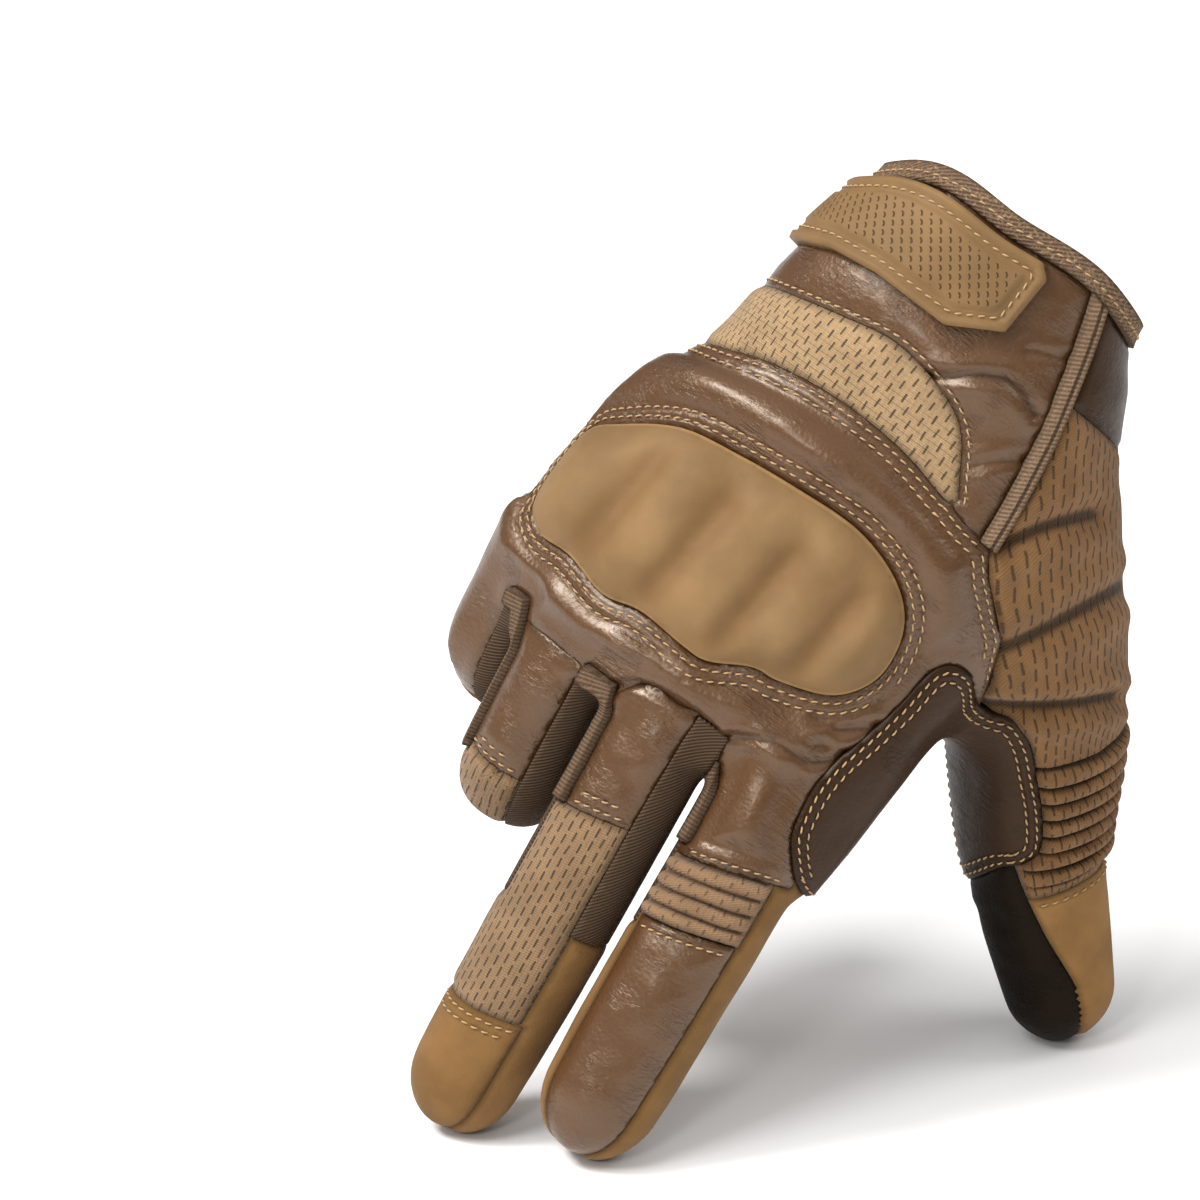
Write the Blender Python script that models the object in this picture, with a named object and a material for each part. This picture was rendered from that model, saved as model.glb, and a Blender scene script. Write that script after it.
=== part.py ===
"""Right-hand tactical glove, shown worn, as closed panels with walls of leather, knit and suede.

The skin of the whole glove is worked out once from named sizes. It is cut along the seams into panels,
and each panel gets its wall. Hand coordinates run across to the thumb side, along to the fingertips and
deep to the palm. The row's origin is the centre of the wrist opening.
"""

import itertools
import math

import bpy
import numpy as np
import openvdb
from mathutils.bvhtree import BVHTree

# Named sizes, in millimetres
HAND_LENGTH = 119.0
HAND_BREADTH = 91.0
HAND_DEPTH = 33.0
CUFF_BREADTH = 59.6
CUFF_DEPTH = 48.0
INDEX_LENGTH = 100.0
INDEX_BREADTH = 25.6
MIDDLE_LENGTH = 111.0
MIDDLE_BREADTH = 24.2
RING_LENGTH = 92.0
RING_BREADTH = 22.6
LITTLE_LENGTH = 78.0
LITTLE_BREADTH = 20.8
THUMB_LENGTH = 130.0
THUMB_BREADTH = 37.0
FINGER_SPACE = 2.2
LEATHER_WALL = 1.6
KNIT_WALL = 1.8
SUEDE_WALL = 1.5
GUARD_WALL = 2.0
GUARD_RISE = 4.6
GUARD_RIDGE = 1.3
STRAP_WALL = 2.4
STRAP_REACH = 12.0
STRAP_MARGIN = 1.0
CLEARANCE = 0.3
RIM_BINDING = 4.6
RIM_RISE = 0.8
FLAP_BINDING = 3.8
FLAP_RISE = 1.0
PIPING = 3.6
PIPING_RISE = 1.0
THUMB_RIB_PITCH = 4.3
THUMB_RIB_RISE = 1.7
INDEX_RIB_PITCH = 3.4
INDEX_RIB_RISE = 1.3

# Roundings between the parts of the skin, in millimetres
FINGER_BLEND = 4.0
WEB_BLEND = 7.0
THUMB_BLEND = 20.0
SLOPE_STEP = 0.8

# Where tight folds bring neighbours together, they give way by these steps
GIVE_STEP = 0.15
GIVE_ROUNDS = 8

# Counts
THUMB_RIBS = 7
INDEX_RIBS = 4
FACES = 2400
LONGEST_EDGE = 4.0
SEAM_SNAP = 0.4

# How the glove leans in its row: tilt in the picture plane, and the lean of the view
TILT = math.radians(36)
LEAN = math.radians(24)

# The centre of the wrist opening, which is the row's origin, as shares of the hand's breadth, length and depth
OPENING = (0.012, -0.036, 0.0)

# Sections of the hand: along as a share of HAND_LENGTH, half widths and half depths as shares of the cuff's
# and the hand's, centre across as a share of HAND_BREADTH, centre deep and arch as shares of HAND_DEPTH
BODY = [
    # along, cuff half w, hand half w, cuff half d, hand half d, across, deep, arch
    (-0.130, 0.500, 0.000, 0.500, 0.00, 0.012, 0.00, 0.00),
    (0.000, 0.500, 0.000, 0.500, 0.00, 0.012, 0.00, 0.00),
    (0.145, 0.330, 0.144, 0.350, 0.19, 0.006, 0.00, 0.03),
    (0.300, 0.110, 0.318, 0.130, 0.45, 0.001, 0.00, 0.12),
    (0.420, 0.020, 0.405, 0.040, 0.54, 0.000, 0.01, 0.20),
    (0.510, 0.000, 0.470, 0.000, 0.55, -0.010, 0.01, 0.24),
    (0.655, 0.000, 0.505, 0.000, 0.50, -0.014, 0.02, 0.31),
    (0.780, 0.000, 0.508, 0.000, 0.45, -0.020, 0.03, 0.38),
    (0.870, 0.000, 0.490, 0.000, 0.40, -0.022, 0.04, 0.43),
    (0.940, 0.000, 0.455, 0.000, 0.34, -0.018, 0.06, 0.46),
    (0.995, 0.000, 0.395, 0.000, 0.25, -0.010, 0.08, 0.46),
]

# Fingers: root as shares of the hand's breadth, length and depth, then angles in degrees
FINGERS = {
    # across, along, deep, splay, pitch, roll
    "index": (0.283, 0.824, 0.06, 6.0, 2.0, 0.0),
    "middle": (-0.011, 0.849, 0.05, 6.8, 7.0, 0.0),
    "ring": (-0.268, 0.815, 0.15, 8.5, 20.0, 6.0),
    "little": (-0.425, 0.800, 0.45, 9.0, 29.0, 30.0),
}

# Bends: share of the finger's length, degrees, and the spread as a share of the length
BENDS = {
    "index": [(0.38, 4, 0.14), (0.64, 3, 0.10)],
    "middle": [(0.38, 5, 0.13), (0.65, 5, 0.10)],
    "ring": [(0.545, 104, 0.21), (0.79, 52, 0.14)],
    "little": [(0.475, 104, 0.23), (0.74, 52, 0.16)],
}

# Finger sections: share of the length, half width and half depth as shares of the breadth
FINGER_SECTIONS = [
    (0.00, 0.490, 0.465),
    (0.30, 0.500, 0.475),
    (0.62, 0.490, 0.460),
    (0.85, 0.470, 0.425),
    (1.00, 0.440, 0.390),
]

# Thumb sections: root as shares of the hand, offsets as shares of THUMB_LENGTH, widths of THUMB_BREADTH
THUMB_ROOT = (0.240, 0.170, 0.12)
THUMB_SECTIONS = [
    # across, along, deep, half width, half depth
    (0.000, 0.000, 0.000, 0.380, 0.380),
    (0.108, 0.154, 0.040, 0.473, 0.460),
    (0.215, 0.277, 0.108, 0.500, 0.473),
    (0.308, 0.392, 0.200, 0.473, 0.446),
    (0.412, 0.531, 0.300, 0.398, 0.390),
    (0.506, 0.622, 0.362, 0.345, 0.335),
    (0.612, 0.716, 0.415, 0.295, 0.280),
    (0.664, 0.762, 0.440, 0.255, 0.230),
]
THUMB_BACK = (0.62, -0.20, -0.75)

# The web beside the index finger's root: across, along and deep as shares of the hand, radius of HAND_BREADTH
WEB = [
    (0.400, 0.640, 0.38, 0.060),
    (0.425, 0.760, 0.30, 0.072),
    (0.428, 0.870, 0.22, 0.072),
    (0.432, 0.970, 0.16, 0.066),
    (0.436, 1.060, 0.14, 0.048),
]

# Seams in the picture plane: across as shares of HAND_BREADTH, along as shares of HAND_LENGTH
RIM = [(-0.50, 0.030), (-0.34, 0.010), (-0.26, -0.034), (0.00, -0.052), (0.20, -0.060), (0.34, -0.036)]
FLAP_LINE = [(0.212, -0.060), (0.224, -0.030), (0.248, 0.024), (0.307, 0.199), (0.343, 0.366), (0.350, 0.450)]
FLAP_END = 0.420
INNER_CUFF_END = 0.150
UNDERSIDE_END = 0.300
FINGER_FRONT = 0.260
STRAP_PAD = [
    (-0.70, -0.100),
    (-0.300, -0.110),
    (-0.020, -0.080),
    (0.037, -0.040),
    (0.106, 0.009),
    (0.099, 0.118),
    (-0.012, 0.166),
    (-0.188, 0.162),
    (-0.293, 0.171),
    (-0.382, 0.198),
    (-0.70, 0.240),
]
WINDOW_TOP = [
    (-0.70, 0.310),
    (-0.387, 0.279),
    (-0.224, 0.256),
    (-0.079, 0.237),
    (0.044, 0.252),
    (0.146, 0.288),
    (0.211, 0.356),
    (0.232, 0.400),
]
WINDOW_LOW = [
    (0.232, 0.400),
    (0.081, 0.376),
    (-0.090, 0.368),
    (-0.266, 0.383),
    (-0.418, 0.415),
    (-0.70, 0.450),
]
CUFF_END = [
    (-0.70, 0.380),
    (-0.30, 0.330),
    (0.00, 0.310),
    (0.15, 0.340),
    (0.215, 0.392),
    (0.240, 0.402),
    (0.360, 0.420),
    (0.500, 0.440),
]
BACK_EDGE = [(0.232, 0.400), (0.350, 0.418), (0.393, 0.462), (0.498, 0.529), (0.540, 0.600), (0.560, 0.680)]
GUARD = [
    (-0.450, 0.611),
    (-0.503, 0.660),
    (-0.507, 0.790),
    (-0.460, 0.836),
    (-0.377, 0.839),
    (-0.266, 0.858),
    (-0.176, 0.844),
    (-0.059, 0.850),
    (0.001, 0.847),
    (0.089, 0.811),
    (0.153, 0.804),
    (0.265, 0.771),
    (0.320, 0.712),
    (0.320, 0.645),
    (0.283, 0.589),
    (0.207, 0.546),
    (0.091, 0.523),
    (-0.058, 0.527),
    (-0.201, 0.538),
    (-0.338, 0.557),
]
WEB_PATCH = [
    (0.490, 1.070),
    (0.388, 1.014),
    (0.360, 0.950),
    (0.354, 0.882),
    (0.382, 0.789),
    (0.401, 0.716),
    (0.411, 0.650),
    (0.436, 0.616),
    (0.488, 0.608),
    (0.537, 0.637),
    (0.582, 0.639),
    (0.635, 0.625),
    (0.695, 0.642),
    (0.751, 0.678),
    (0.813, 0.722),
    (0.859, 0.770),
    (0.852, 0.807),
    (0.815, 0.838),
    (0.760, 0.900),
    (0.640, 0.880),
    (0.560, 0.840),
    (0.560, 0.960),
]
RING_CREASE = [(-0.600, 0.970), (-0.326, 0.974), (-0.271, 0.976), (-0.179, 0.986), (-0.130, 1.010), (0.00, 1.04)]
MIDDLE_CREASE = [(-0.300, 1.060), (-0.133, 0.995), (-0.085, 0.946), (0.013, 0.934), (0.110, 0.916), (0.300, 0.960)]

# Slits between the fingers: the two fingers, then the slit's top along as a share of HAND_LENGTH
SLITS = {
    "little_ring": ("little", "ring", 0.966),
    "ring_middle": ("ring", "middle", 0.996),
    "middle_index": ("middle", "index", 0.930),
}

# Seams round the fingers: shares of the finger's length, slant, and the reach of the piping and of the twill
FINGER_SEAMS = {
    # leather ends, knit ends, slant, piping ends, twill ends
    "index": (0.335, 0.475, -0.20, 0.335, 0.520),
    "middle": (0.330, 0.735, -0.13, 0.330, 0.540),
    "ring": (0.480, 0.740, 0.00, 0.500, 0.640),
    "little": (0.500, 0.760, 0.00, 0.420, 0.640),
}

# Angles round a finger in degrees from its back, towards the little finger and towards the thumb
BACK_ANGLES = {
    "index": (-55, 41),
    "middle": (-54, 22),
    "ring": (-66, 17),
    "little": (-118, 8),
}
KNIT_ANGLES = {
    "index": (-70, 42),
    "middle": (-100, 24),
    "ring": (-100, 20),
    "little": (-118, 20),
}
TIP_ANGLES = {
    "index": (-66, 40),
    "middle": (-100, 28),
    "ring": (-80, 60),
    "little": (-80, 60),
}
TWILL_END = 128

# Thumb seams: share of the thumb's reach, then the angles of the dark side's two edges
THUMB_STITCH = 0.815
THUMB_PALM_EDGES = [
    # share, edge towards the index finger, edge towards the palm
    (0.00, -95, 112),
    (0.50, -80, 112),
    (0.70, -62, 112),
    (0.80, -52, 108),
    (0.90, -40, 100),
    (1.00, -20, 90),
]

# Soft swells of the back: across, along, half spans and rise, the rise as a share of HAND_DEPTH
SWELLS = [
    (-0.10, 0.470, 0.42, 0.065, 0.075),
    (0.28, 0.520, 0.14, 0.100, 0.075),
    (0.02, 0.895, 0.36, 0.038, 0.070),
    (0.05, 0.215, 0.26, 0.060, 0.055),
    (-0.21, 1.040, 0.10, 0.060, 0.050),
    (0.02, 1.020, 0.10, 0.075, 0.045),
    (0.27, 1.000, 0.11, 0.080, 0.040),
]

# Knuckle ridges of the guard: valleys across as shares of HAND_BREADTH
GUARD_VALLEYS = (-0.335, -0.165, 0.010, 0.175)


def clear_scene():
    for item in list(bpy.data.objects):
        bpy.data.objects.remove(item, do_unlink=True)


def smoothstep(t):
    t = np.clip(t, 0, 1)
    return t * t * (3 - 2 * t)


def curve_through(places, values, at):
    """A smooth curve through the rows of a table, read at the given places."""
    places = np.asarray(places, float)
    values = np.asarray(values, float)
    slopes = np.gradient(values, places)
    i = np.clip(np.searchsorted(places, at) - 1, 0, len(places) - 2)
    span = places[i + 1] - places[i]
    t = np.clip((at - places[i]) / span, 0, 1)
    start = (2 * t**3 - 3 * t**2 + 1) * values[i] + (t**3 - 2 * t**2 + t) * span * slopes[i]
    return start + (3 * t**2 - 2 * t**3) * values[i + 1] + (t**3 - t**2) * span * slopes[i + 1]


def to_row(points):
    """Hand coordinates in millimetres to the row's metres."""
    points = points - np.array(OPENING) * (HAND_BREADTH, HAND_LENGTH, HAND_DEPTH)
    x, y, z = points[..., 0], points[..., 1], points[..., 2]
    right = x * math.cos(TILT) - y * math.sin(TILT)
    up = -x * math.sin(TILT) - y * math.cos(TILT)
    back = z * math.cos(LEAN) + up * math.sin(LEAN)
    height = up * math.cos(LEAN) - z * math.sin(LEAN)
    return np.stack([right, back, height], -1) / 1000


def tube(centre, across, deep, half_w, half_d, power=2.3, sides=40, arch=None):
    """A closed loft through rounded sections."""
    angle = np.linspace(0, 2 * math.pi, sides, endpoint=False)
    cx = np.sign(np.cos(angle)) * np.abs(np.cos(angle)) ** (2 / power)
    sx = np.sign(np.sin(angle)) * np.abs(np.sin(angle)) ** (2 / power)
    x = half_w[:, None] * cx
    z = half_d[:, None] * sx
    if arch is not None:
        z = z + arch[:, None] * np.clip(-cx, 0, 1) ** 1.7
    rings = centre[:, None] + x[..., None] * across[:, None] + z[..., None] * deep[:, None]
    count = len(centre)
    verts = np.concatenate([rings.reshape(-1, 3), rings[0].mean(0)[None], rings[-1].mean(0)[None]])
    j = np.arange(sides)
    k = (np.arange(count - 1) * sides)[:, None]
    nxt = (j + 1) % sides
    quads = np.stack([k + j, k + nxt, k + nxt + sides, k + j + sides], -1).reshape(-1, 4)
    first = np.stack([np.full(sides, count * sides), nxt, j], -1)
    last = np.stack([np.full(sides, count * sides + 1), (count - 1) * sides + j, (count - 1) * sides + nxt], -1)
    return verts, quads, np.concatenate([first, last])


class Limb:
    """A finger or the thumb: a centre line with frames and half widths, about one sample a millimetre."""

    def __init__(self, centre, across, deep, reach, half_w, half_d, tip):
        length = reach[-1]
        q = np.clip((reach - (length - tip)) / tip, 0, 1)
        cap = np.sqrt(np.clip(1 - q**2.4, 0.0004, 1))
        self.centre = centre
        self.across = across
        self.deep = deep
        self.reach = reach
        self.length = length
        self.half_w = half_w * cap
        self.half_d = half_d * cap
        tangent = np.gradient(centre, axis=0)
        self.tangent = tangent / np.linalg.norm(tangent, axis=1)[:, None]

    def mesh(self):
        return tube(self.centre, self.across, self.deep, self.half_w, self.half_d)

    def locate(self, points):
        """Reach along the limb, angle from its back and half width, for each point."""
        near = np.empty(len(points), int)
        for start in range(0, len(points), 20000):
            part = points[start : start + 20000]
            near[start : start + 20000] = np.argmin(
                ((part[:, None] - self.centre[None]) ** 2).sum(-1), axis=1
            )
        away = points - self.centre[near]
        reach = self.reach[near] + (away * self.tangent[near]).sum(-1)
        side = (away * self.across[near]).sum(-1)
        down = (away * self.deep[near]).sum(-1)
        return reach, np.degrees(np.arctan2(side, -down)), self.half_w[near]


def finger(name, length, breadth):
    across, along, deep, splay, pitch, roll = FINGERS[name]
    splay, pitch, roll = math.radians(splay), math.radians(pitch), math.radians(roll)
    start = np.array([across * HAND_BREADTH, along * HAND_LENGTH, deep * HAND_DEPTH])
    heading = np.array([math.sin(splay) * math.cos(pitch), math.cos(splay) * math.cos(pitch), math.sin(pitch)])
    side = np.array([math.cos(splay) * math.cos(roll), -math.sin(splay) * math.cos(roll), -math.sin(roll)])
    side -= (side @ heading) * heading
    side /= np.linalg.norm(side)
    down = np.cross(side, heading)
    count = int(length) + 1
    reach = np.linspace(0, length, count)
    bend = np.zeros(count)
    for at, angle, spread in BENDS[name]:
        bend += math.radians(angle) * smoothstep((reach / length - at) / spread + 0.5)
    ahead = np.cos(bend)[:, None] * heading + np.sin(bend)[:, None] * down
    below = np.cos(bend)[:, None] * down - np.sin(bend)[:, None] * heading
    steps = (ahead[1:] + ahead[:-1]) / 2 * np.diff(reach)[:, None]
    centre = start + np.concatenate([np.zeros((1, 3)), np.cumsum(steps, axis=0)])
    rows = np.array(FINGER_SECTIONS)
    half_w = breadth * curve_through(rows[:, 0], rows[:, 1], reach / length)
    half_d = breadth * curve_through(rows[:, 0], rows[:, 2], reach / length)
    return Limb(centre, np.repeat(side[None], count, 0), below, reach, half_w, half_d, breadth * 0.57)


def thumb():
    rows = np.array(THUMB_SECTIONS)
    root = np.array(THUMB_ROOT) * (HAND_BREADTH, HAND_LENGTH, HAND_DEPTH)
    places = np.arange(len(rows))
    fine = np.linspace(0, len(rows) - 1, 400)
    line = np.stack([curve_through(places, rows[:, k], fine) for k in range(3)], 1) * THUMB_LENGTH
    run = np.concatenate([[0], np.cumsum(np.linalg.norm(np.diff(line, axis=0), axis=1))])
    reach = np.linspace(0, run[-1], int(run[-1]) + 1)
    at = np.interp(reach, run, fine)
    centre = root + np.stack([curve_through(places, rows[:, k], at) for k in range(3)], 1) * THUMB_LENGTH
    half_w, half_d = (THUMB_BREADTH * curve_through(places, rows[:, k], at) for k in (3, 4))
    tangent = np.gradient(centre, axis=0)
    tangent /= np.linalg.norm(tangent, axis=1)[:, None]
    back = np.array(THUMB_BACK)
    down = (tangent @ back)[:, None] * tangent - back
    down /= np.linalg.norm(down, axis=1)[:, None]
    return Limb(centre, np.cross(tangent, down), down, reach, half_w, half_d, THUMB_BREADTH * 0.3)


def body_columns(along):
    """Half width, half depth, centre across, centre deep and arch of the hand at places along it."""
    rows = np.array(BODY)
    read = [curve_through(rows[:, 0], rows[:, k], along / HAND_LENGTH) for k in range(1, 8)]
    half_w = read[0] * CUFF_BREADTH + read[1] * HAND_BREADTH
    half_d = read[2] * CUFF_DEPTH + read[3] * HAND_DEPTH
    return half_w, half_d, read[4] * HAND_BREADTH, read[5] * HAND_DEPTH, read[6] * HAND_DEPTH


def body_mesh():
    along = np.linspace(BODY[0][0], BODY[-1][0], 70) * HAND_LENGTH
    half_w, half_d, across, deep, arch = body_columns(along)
    centre = np.stack([across, along, deep], 1)
    right = np.repeat([[1.0, 0.0, 0.0]], len(along), 0)
    down = np.repeat([[0.0, 0.0, 1.0]], len(along), 0)
    return tube(centre, right, down, half_w, half_d, power=2.5, sides=64, arch=arch)


def web_mesh():
    rows = np.array(WEB)
    places = np.arange(len(rows))
    at = np.linspace(0, len(rows) - 1, 40)
    across, along, deep, radius = (curve_through(places, rows[:, k], at) for k in range(4))
    centre = np.stack([across * HAND_BREADTH, along * HAND_LENGTH, deep * HAND_DEPTH], 1)
    right = np.repeat([[1.0, 0.0, 0.0]], len(at), 0)
    down = np.repeat([[0.0, 0.0, 1.0]], len(at), 0)
    return tube(centre, right, down, radius * HAND_BREADTH, radius * HAND_BREADTH)


def smooth_union(a, b, blend):
    share = np.clip(blend - np.abs(a - b), 0, None) / blend
    return np.minimum(a, b) - share * share * blend / 4


def union_slope(a, b, slope_a, slope_b, blend):
    """The value and the slope of a smooth union, from those of its two fields."""
    share = np.clip(blend - np.abs(a - b), 0, None) / blend
    weight = np.where(a < b, 1 - share / 2, share / 2)[:, None]
    return smooth_union(a, b, blend), slope_a * weight + slope_b * (1 - weight)


class Skin:
    """The outer skin as a field of distances on a grid, with the limbs that it was made from."""

    def __init__(self, voxel):
        self.voxel = voxel
        self.limbs = {
            "index": finger("index", INDEX_LENGTH, INDEX_BREADTH),
            "middle": finger("middle", MIDDLE_LENGTH, MIDDLE_BREADTH),
            "ring": finger("ring", RING_LENGTH, RING_BREADTH),
            "little": finger("little", LITTLE_LENGTH, LITTLE_BREADTH),
            "thumb": thumb(),
        }
        meshes = {name: limb.mesh() for name, limb in self.limbs.items()}
        meshes["body"] = body_mesh()
        meshes["web"] = web_mesh()
        ends = np.concatenate([mesh[0] for mesh in meshes.values()])
        self.low = np.floor((ends.min(0) - 9) / voxel).astype(int)
        self.shape = tuple(np.ceil((ends.max(0) + 9) / voxel).astype(int) - self.low)
        self.fields = {name: self.distances(mesh) for name, mesh in meshes.items()}
        four = ("index", "middle", "ring", "little")
        apart = []
        for name in four:
            others = np.minimum.reduce([self.fields[other] for other in four if other != name])
            kept = (self.fields[name] - others) / 2 + FINGER_SPACE / 2
            apart.append(np.maximum(self.fields[name], kept))
        whole = smooth_union(self.fields["body"], np.minimum.reduce(apart), FINGER_BLEND)
        whole = smooth_union(whole, self.fields["web"], WEB_BLEND)
        self.field = smooth_union(whole, self.fields["thumb"], THUMB_BLEND)

    def distances(self, mesh):
        verts, quads, tris = mesh
        grid = openvdb.FloatGrid.createLevelSetFromPolygons(
            np.ascontiguousarray(verts, np.float32),
            triangles=np.ascontiguousarray(tris, np.uint32),
            quads=np.ascontiguousarray(quads, np.uint32),
            transform=openvdb.createLinearTransform(self.voxel),
            halfWidth=22 / self.voxel,
        )
        out = np.empty(self.shape, np.float32)
        grid.copyToArray(out, ijk=tuple(int(k) for k in self.low))
        return out

    def sample(self, values, points):
        at = points / self.voxel - self.low
        base = np.clip(np.floor(at).astype(int), 0, np.array(self.shape) - 2)
        f = at - base
        out = np.zeros(len(points))
        for corner in range(8):
            step = np.array([corner & 1, corner >> 1 & 1, corner >> 2 & 1])
            share = np.prod(np.where(step, f, 1 - f), axis=1)
            i = base + step
            out += share * values[i[:, 0], i[:, 1], i[:, 2]]
        return out

    def slope(self, name, points):
        found = []
        for step in np.eye(3) * SLOPE_STEP:
            field = self.fields[name]
            found.append(self.sample(field, points + step) - self.sample(field, points - step))
        return np.stack(found, 1) / (2 * SLOPE_STEP)

    def normals(self, points, off):
        """Directions out of the skin, where each finger counts only its own side of a slit."""
        fingers = np.stack([off[name] for name in FINGERS])
        nearest = fingers.argmin(0)
        slopes = np.zeros((len(points), 3))
        for place, name in enumerate(FINGERS):
            mine = nearest == place
            slopes[mine] = self.slope(name, points[mine])
        value, slope = off["body"], self.slope("body", points)
        value, slope = union_slope(value, fingers.min(0), slope, slopes, FINGER_BLEND)
        value, slope = union_slope(value, off["web"], slope, self.slope("web", points), WEB_BLEND)
        value, slope = union_slope(value, off["thumb"], slope, self.slope("thumb", points), THUMB_BLEND)
        return slope / np.maximum(np.linalg.norm(slope, axis=1), 1e-6)[:, None]

    def mesh(self):
        grid = openvdb.FloatGrid(float(self.field.max()))
        grid.copyFromArray(self.field.astype(np.float32), ijk=tuple(int(k) for k in self.low))
        grid.transform = openvdb.createLinearTransform(self.voxel)
        grid.gridClass = openvdb.GridClass.LEVEL_SET
        points, tris, quads = grid.convertToPolygons(isovalue=0.0, adaptivity=0.0)
        quads = np.asarray(quads, int)
        faces = np.concatenate([np.asarray(tris, int).reshape(-1, 3), quads[:, [0, 1, 2]], quads[:, [0, 2, 3]]])
        return np.asarray(points, float), faces[:, ::-1]

    def spots(self, points):
        """All that the seams ask of a point, as one dictionary of columns."""
        off = {name: self.sample(field, points) for name, field in self.fields.items()}
        found = {"p": points, "n": self.normals(points, off)}
        for name, limb in self.limbs.items():
            reach, angle, half = limb.locate(points)
            found["reach_" + name] = reach
            found["angle_" + name] = angle
            found["half_" + name] = half
        for name, values in off.items():
            found["off_" + name] = values
        return found


def simplified(points, faces, wanted):
    """The mesh with about the wanted number of triangles, as Blender's Decimate gives it."""
    mesh = bpy.data.meshes.new("skin")
    mesh.from_pydata(points.tolist(), [], faces.tolist())
    item = bpy.data.objects.new("skin", mesh)
    bpy.context.scene.collection.objects.link(item)
    shrink = item.modifiers.new("fewer", "DECIMATE")
    shrink.ratio = wanted / len(faces)
    shrink.use_collapse_triangulate = True
    bpy.context.view_layer.update()
    made = item.evaluated_get(bpy.context.evaluated_depsgraph_get()).to_mesh()
    made.calc_loop_triangles()
    out = np.empty(len(made.vertices) * 3)
    made.vertices.foreach_get("co", out)
    tris = np.empty(len(made.loop_triangles) * 3, np.int32)
    made.loop_triangles.foreach_get("vertices", tris)
    bpy.data.objects.remove(item, do_unlink=True)
    return out.reshape(-1, 3), tris.reshape(-1, 3).astype(int)


def in_hand(table):
    return np.array(table, float) * (HAND_BREADTH, HAND_LENGTH)


def rounded(points, closed, parts=5):
    """A smooth line through the points of a table."""
    count = len(points)
    if closed:
        places = np.arange(-3, count + 3)
        laid = points[places % count]
        at = np.arange(count * parts) / parts
    else:
        places = np.arange(count)
        laid = points
        at = np.linspace(0, count - 1, (count - 1) * parts + 1)
    return np.stack([curve_through(places, laid[:, k], at) for k in range(2)], 1)


def from_line(line, closed, flat):
    """Distance of flat points from a line, positive inside a closed one."""
    ends = np.roll(line, -1, axis=0) if closed else line[1:]
    starts = line if closed else line[:-1]
    best = np.full(len(flat), 1e9)
    inside = np.zeros(len(flat), bool)
    for a, b in zip(starts, ends):
        along = b - a
        t = np.clip(((flat - a) @ along) / max(along @ along, 1e-9), 0, 1)
        best = np.minimum(best, np.hypot(*(flat - a - t[:, None] * along).T))
        if a[1] != b[1]:
            crosses = (a[1] > flat[:, 1]) != (b[1] > flat[:, 1])
            where = a[0] + (flat[:, 1] - a[1]) * (b[0] - a[0]) / (b[1] - a[1])
            inside ^= crosses & (flat[:, 0] < where)
    return np.where(inside, best, -best) if closed else best


def within(table, spot, closed=True):
    return from_line(rounded(in_hand(table), closed), True, spot["p"][:, :2])


def height_of(table, spot):
    """The along of an open seam at the point's across."""
    line = in_hand(table)
    return curve_through(line[:, 0], line[:, 1], spot["p"][:, 0])


def least(*values):
    return np.minimum.reduce(np.broadcast_arrays(*values))


def most(*values):
    return np.maximum.reduce(np.broadcast_arrays(*values))


def body_back(spot):
    """How far a point of the hand lies on the back's side of the line round the hand."""
    x, y, z = spot["p"].T
    along = np.clip(y, BODY[0][0] * HAND_LENGTH, BODY[-1][0] * HAND_LENGTH)
    half_w, half_d, across, deep, arch = body_columns(along)
    middle = deep + arch * np.clip((across - x) / half_w, 0, 1) ** 1.7
    return middle + half_d * 0.25 - z


def between(spot, name, low, high):
    """How far a point lies inside a band of angles round a limb, in millimetres."""
    angle = spot["angle_" + name]
    half = spot["half_" + name]
    return np.radians(least(angle - low, high - angle)) * half


def own(spot, name):
    """How much nearer a point lies to this finger than to the others."""
    others = [spot["off_" + other] for other in FINGERS if other != name]
    return (np.minimum.reduce(others) - spot["off_" + name]) / 2


def slanted(spot, name):
    """Reach along a finger, slanted across it as its seams are."""
    slant = FINGER_SEAMS[name][2]
    side = np.sin(np.radians(spot["angle_" + name])) * spot["half_" + name]
    return spot["reach_" + name] - slant * side


def seam(name, column):
    length = {"index": INDEX_LENGTH, "middle": MIDDLE_LENGTH, "ring": RING_LENGTH, "little": LITTLE_LENGTH}
    return FINGER_SEAMS[name][column] * length[name]


def limb_share(spot, name, blend):
    """0 on the hand and 1 on the limb."""
    return smoothstep((spot["off_body"] - spot["off_" + name]) / blend + 0.5)


def back_side(spot):
    """The back's side of the line round the hand, carried on along the fingers and the thumb."""
    side = body_back(spot)
    for name in FINGERS:
        low, high = BACK_ANGLES[name]
        low = min(low, -80)
        high = max(high, 62)
        share = limb_share(spot, name, 7.0) * (own(spot, name) > 0)
        side = side * (1 - share) + share * between(spot, name, low, high)
    share = limb_share(spot, "thumb", 18.0)
    edges = np.array(THUMB_PALM_EDGES)
    reach = spot["reach_thumb"] / THUMB_LENGTH
    low, high = (curve_through(edges[:, 0], edges[:, k], reach) for k in (1, 2))
    return side * (1 - share) + share * between(spot, "thumb", low, high)


def cuff_binding(spot):
    return height_of(RIM, spot) + RIM_BINDING - spot["p"][:, 1]


def flap_side(spot):
    """Distance to the thumb's side of the flap's edge."""
    line = in_hand(FLAP_LINE)
    return spot["p"][:, 0] - curve_through(line[:, 1], line[:, 0], spot["p"][:, 1])


def flap_binding(spot):
    near = FLAP_BINDING / 2 - np.abs(flap_side(spot))
    return least(near, FLAP_END * HAND_LENGTH - spot["p"][:, 1], -6 * spot["n"][:, 2])


def inner_cuff(spot):
    low = INNER_CUFF_END * HAND_LENGTH - spot["p"][:, 1]
    return least(flap_side(spot), low, body_back(spot))


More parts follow.
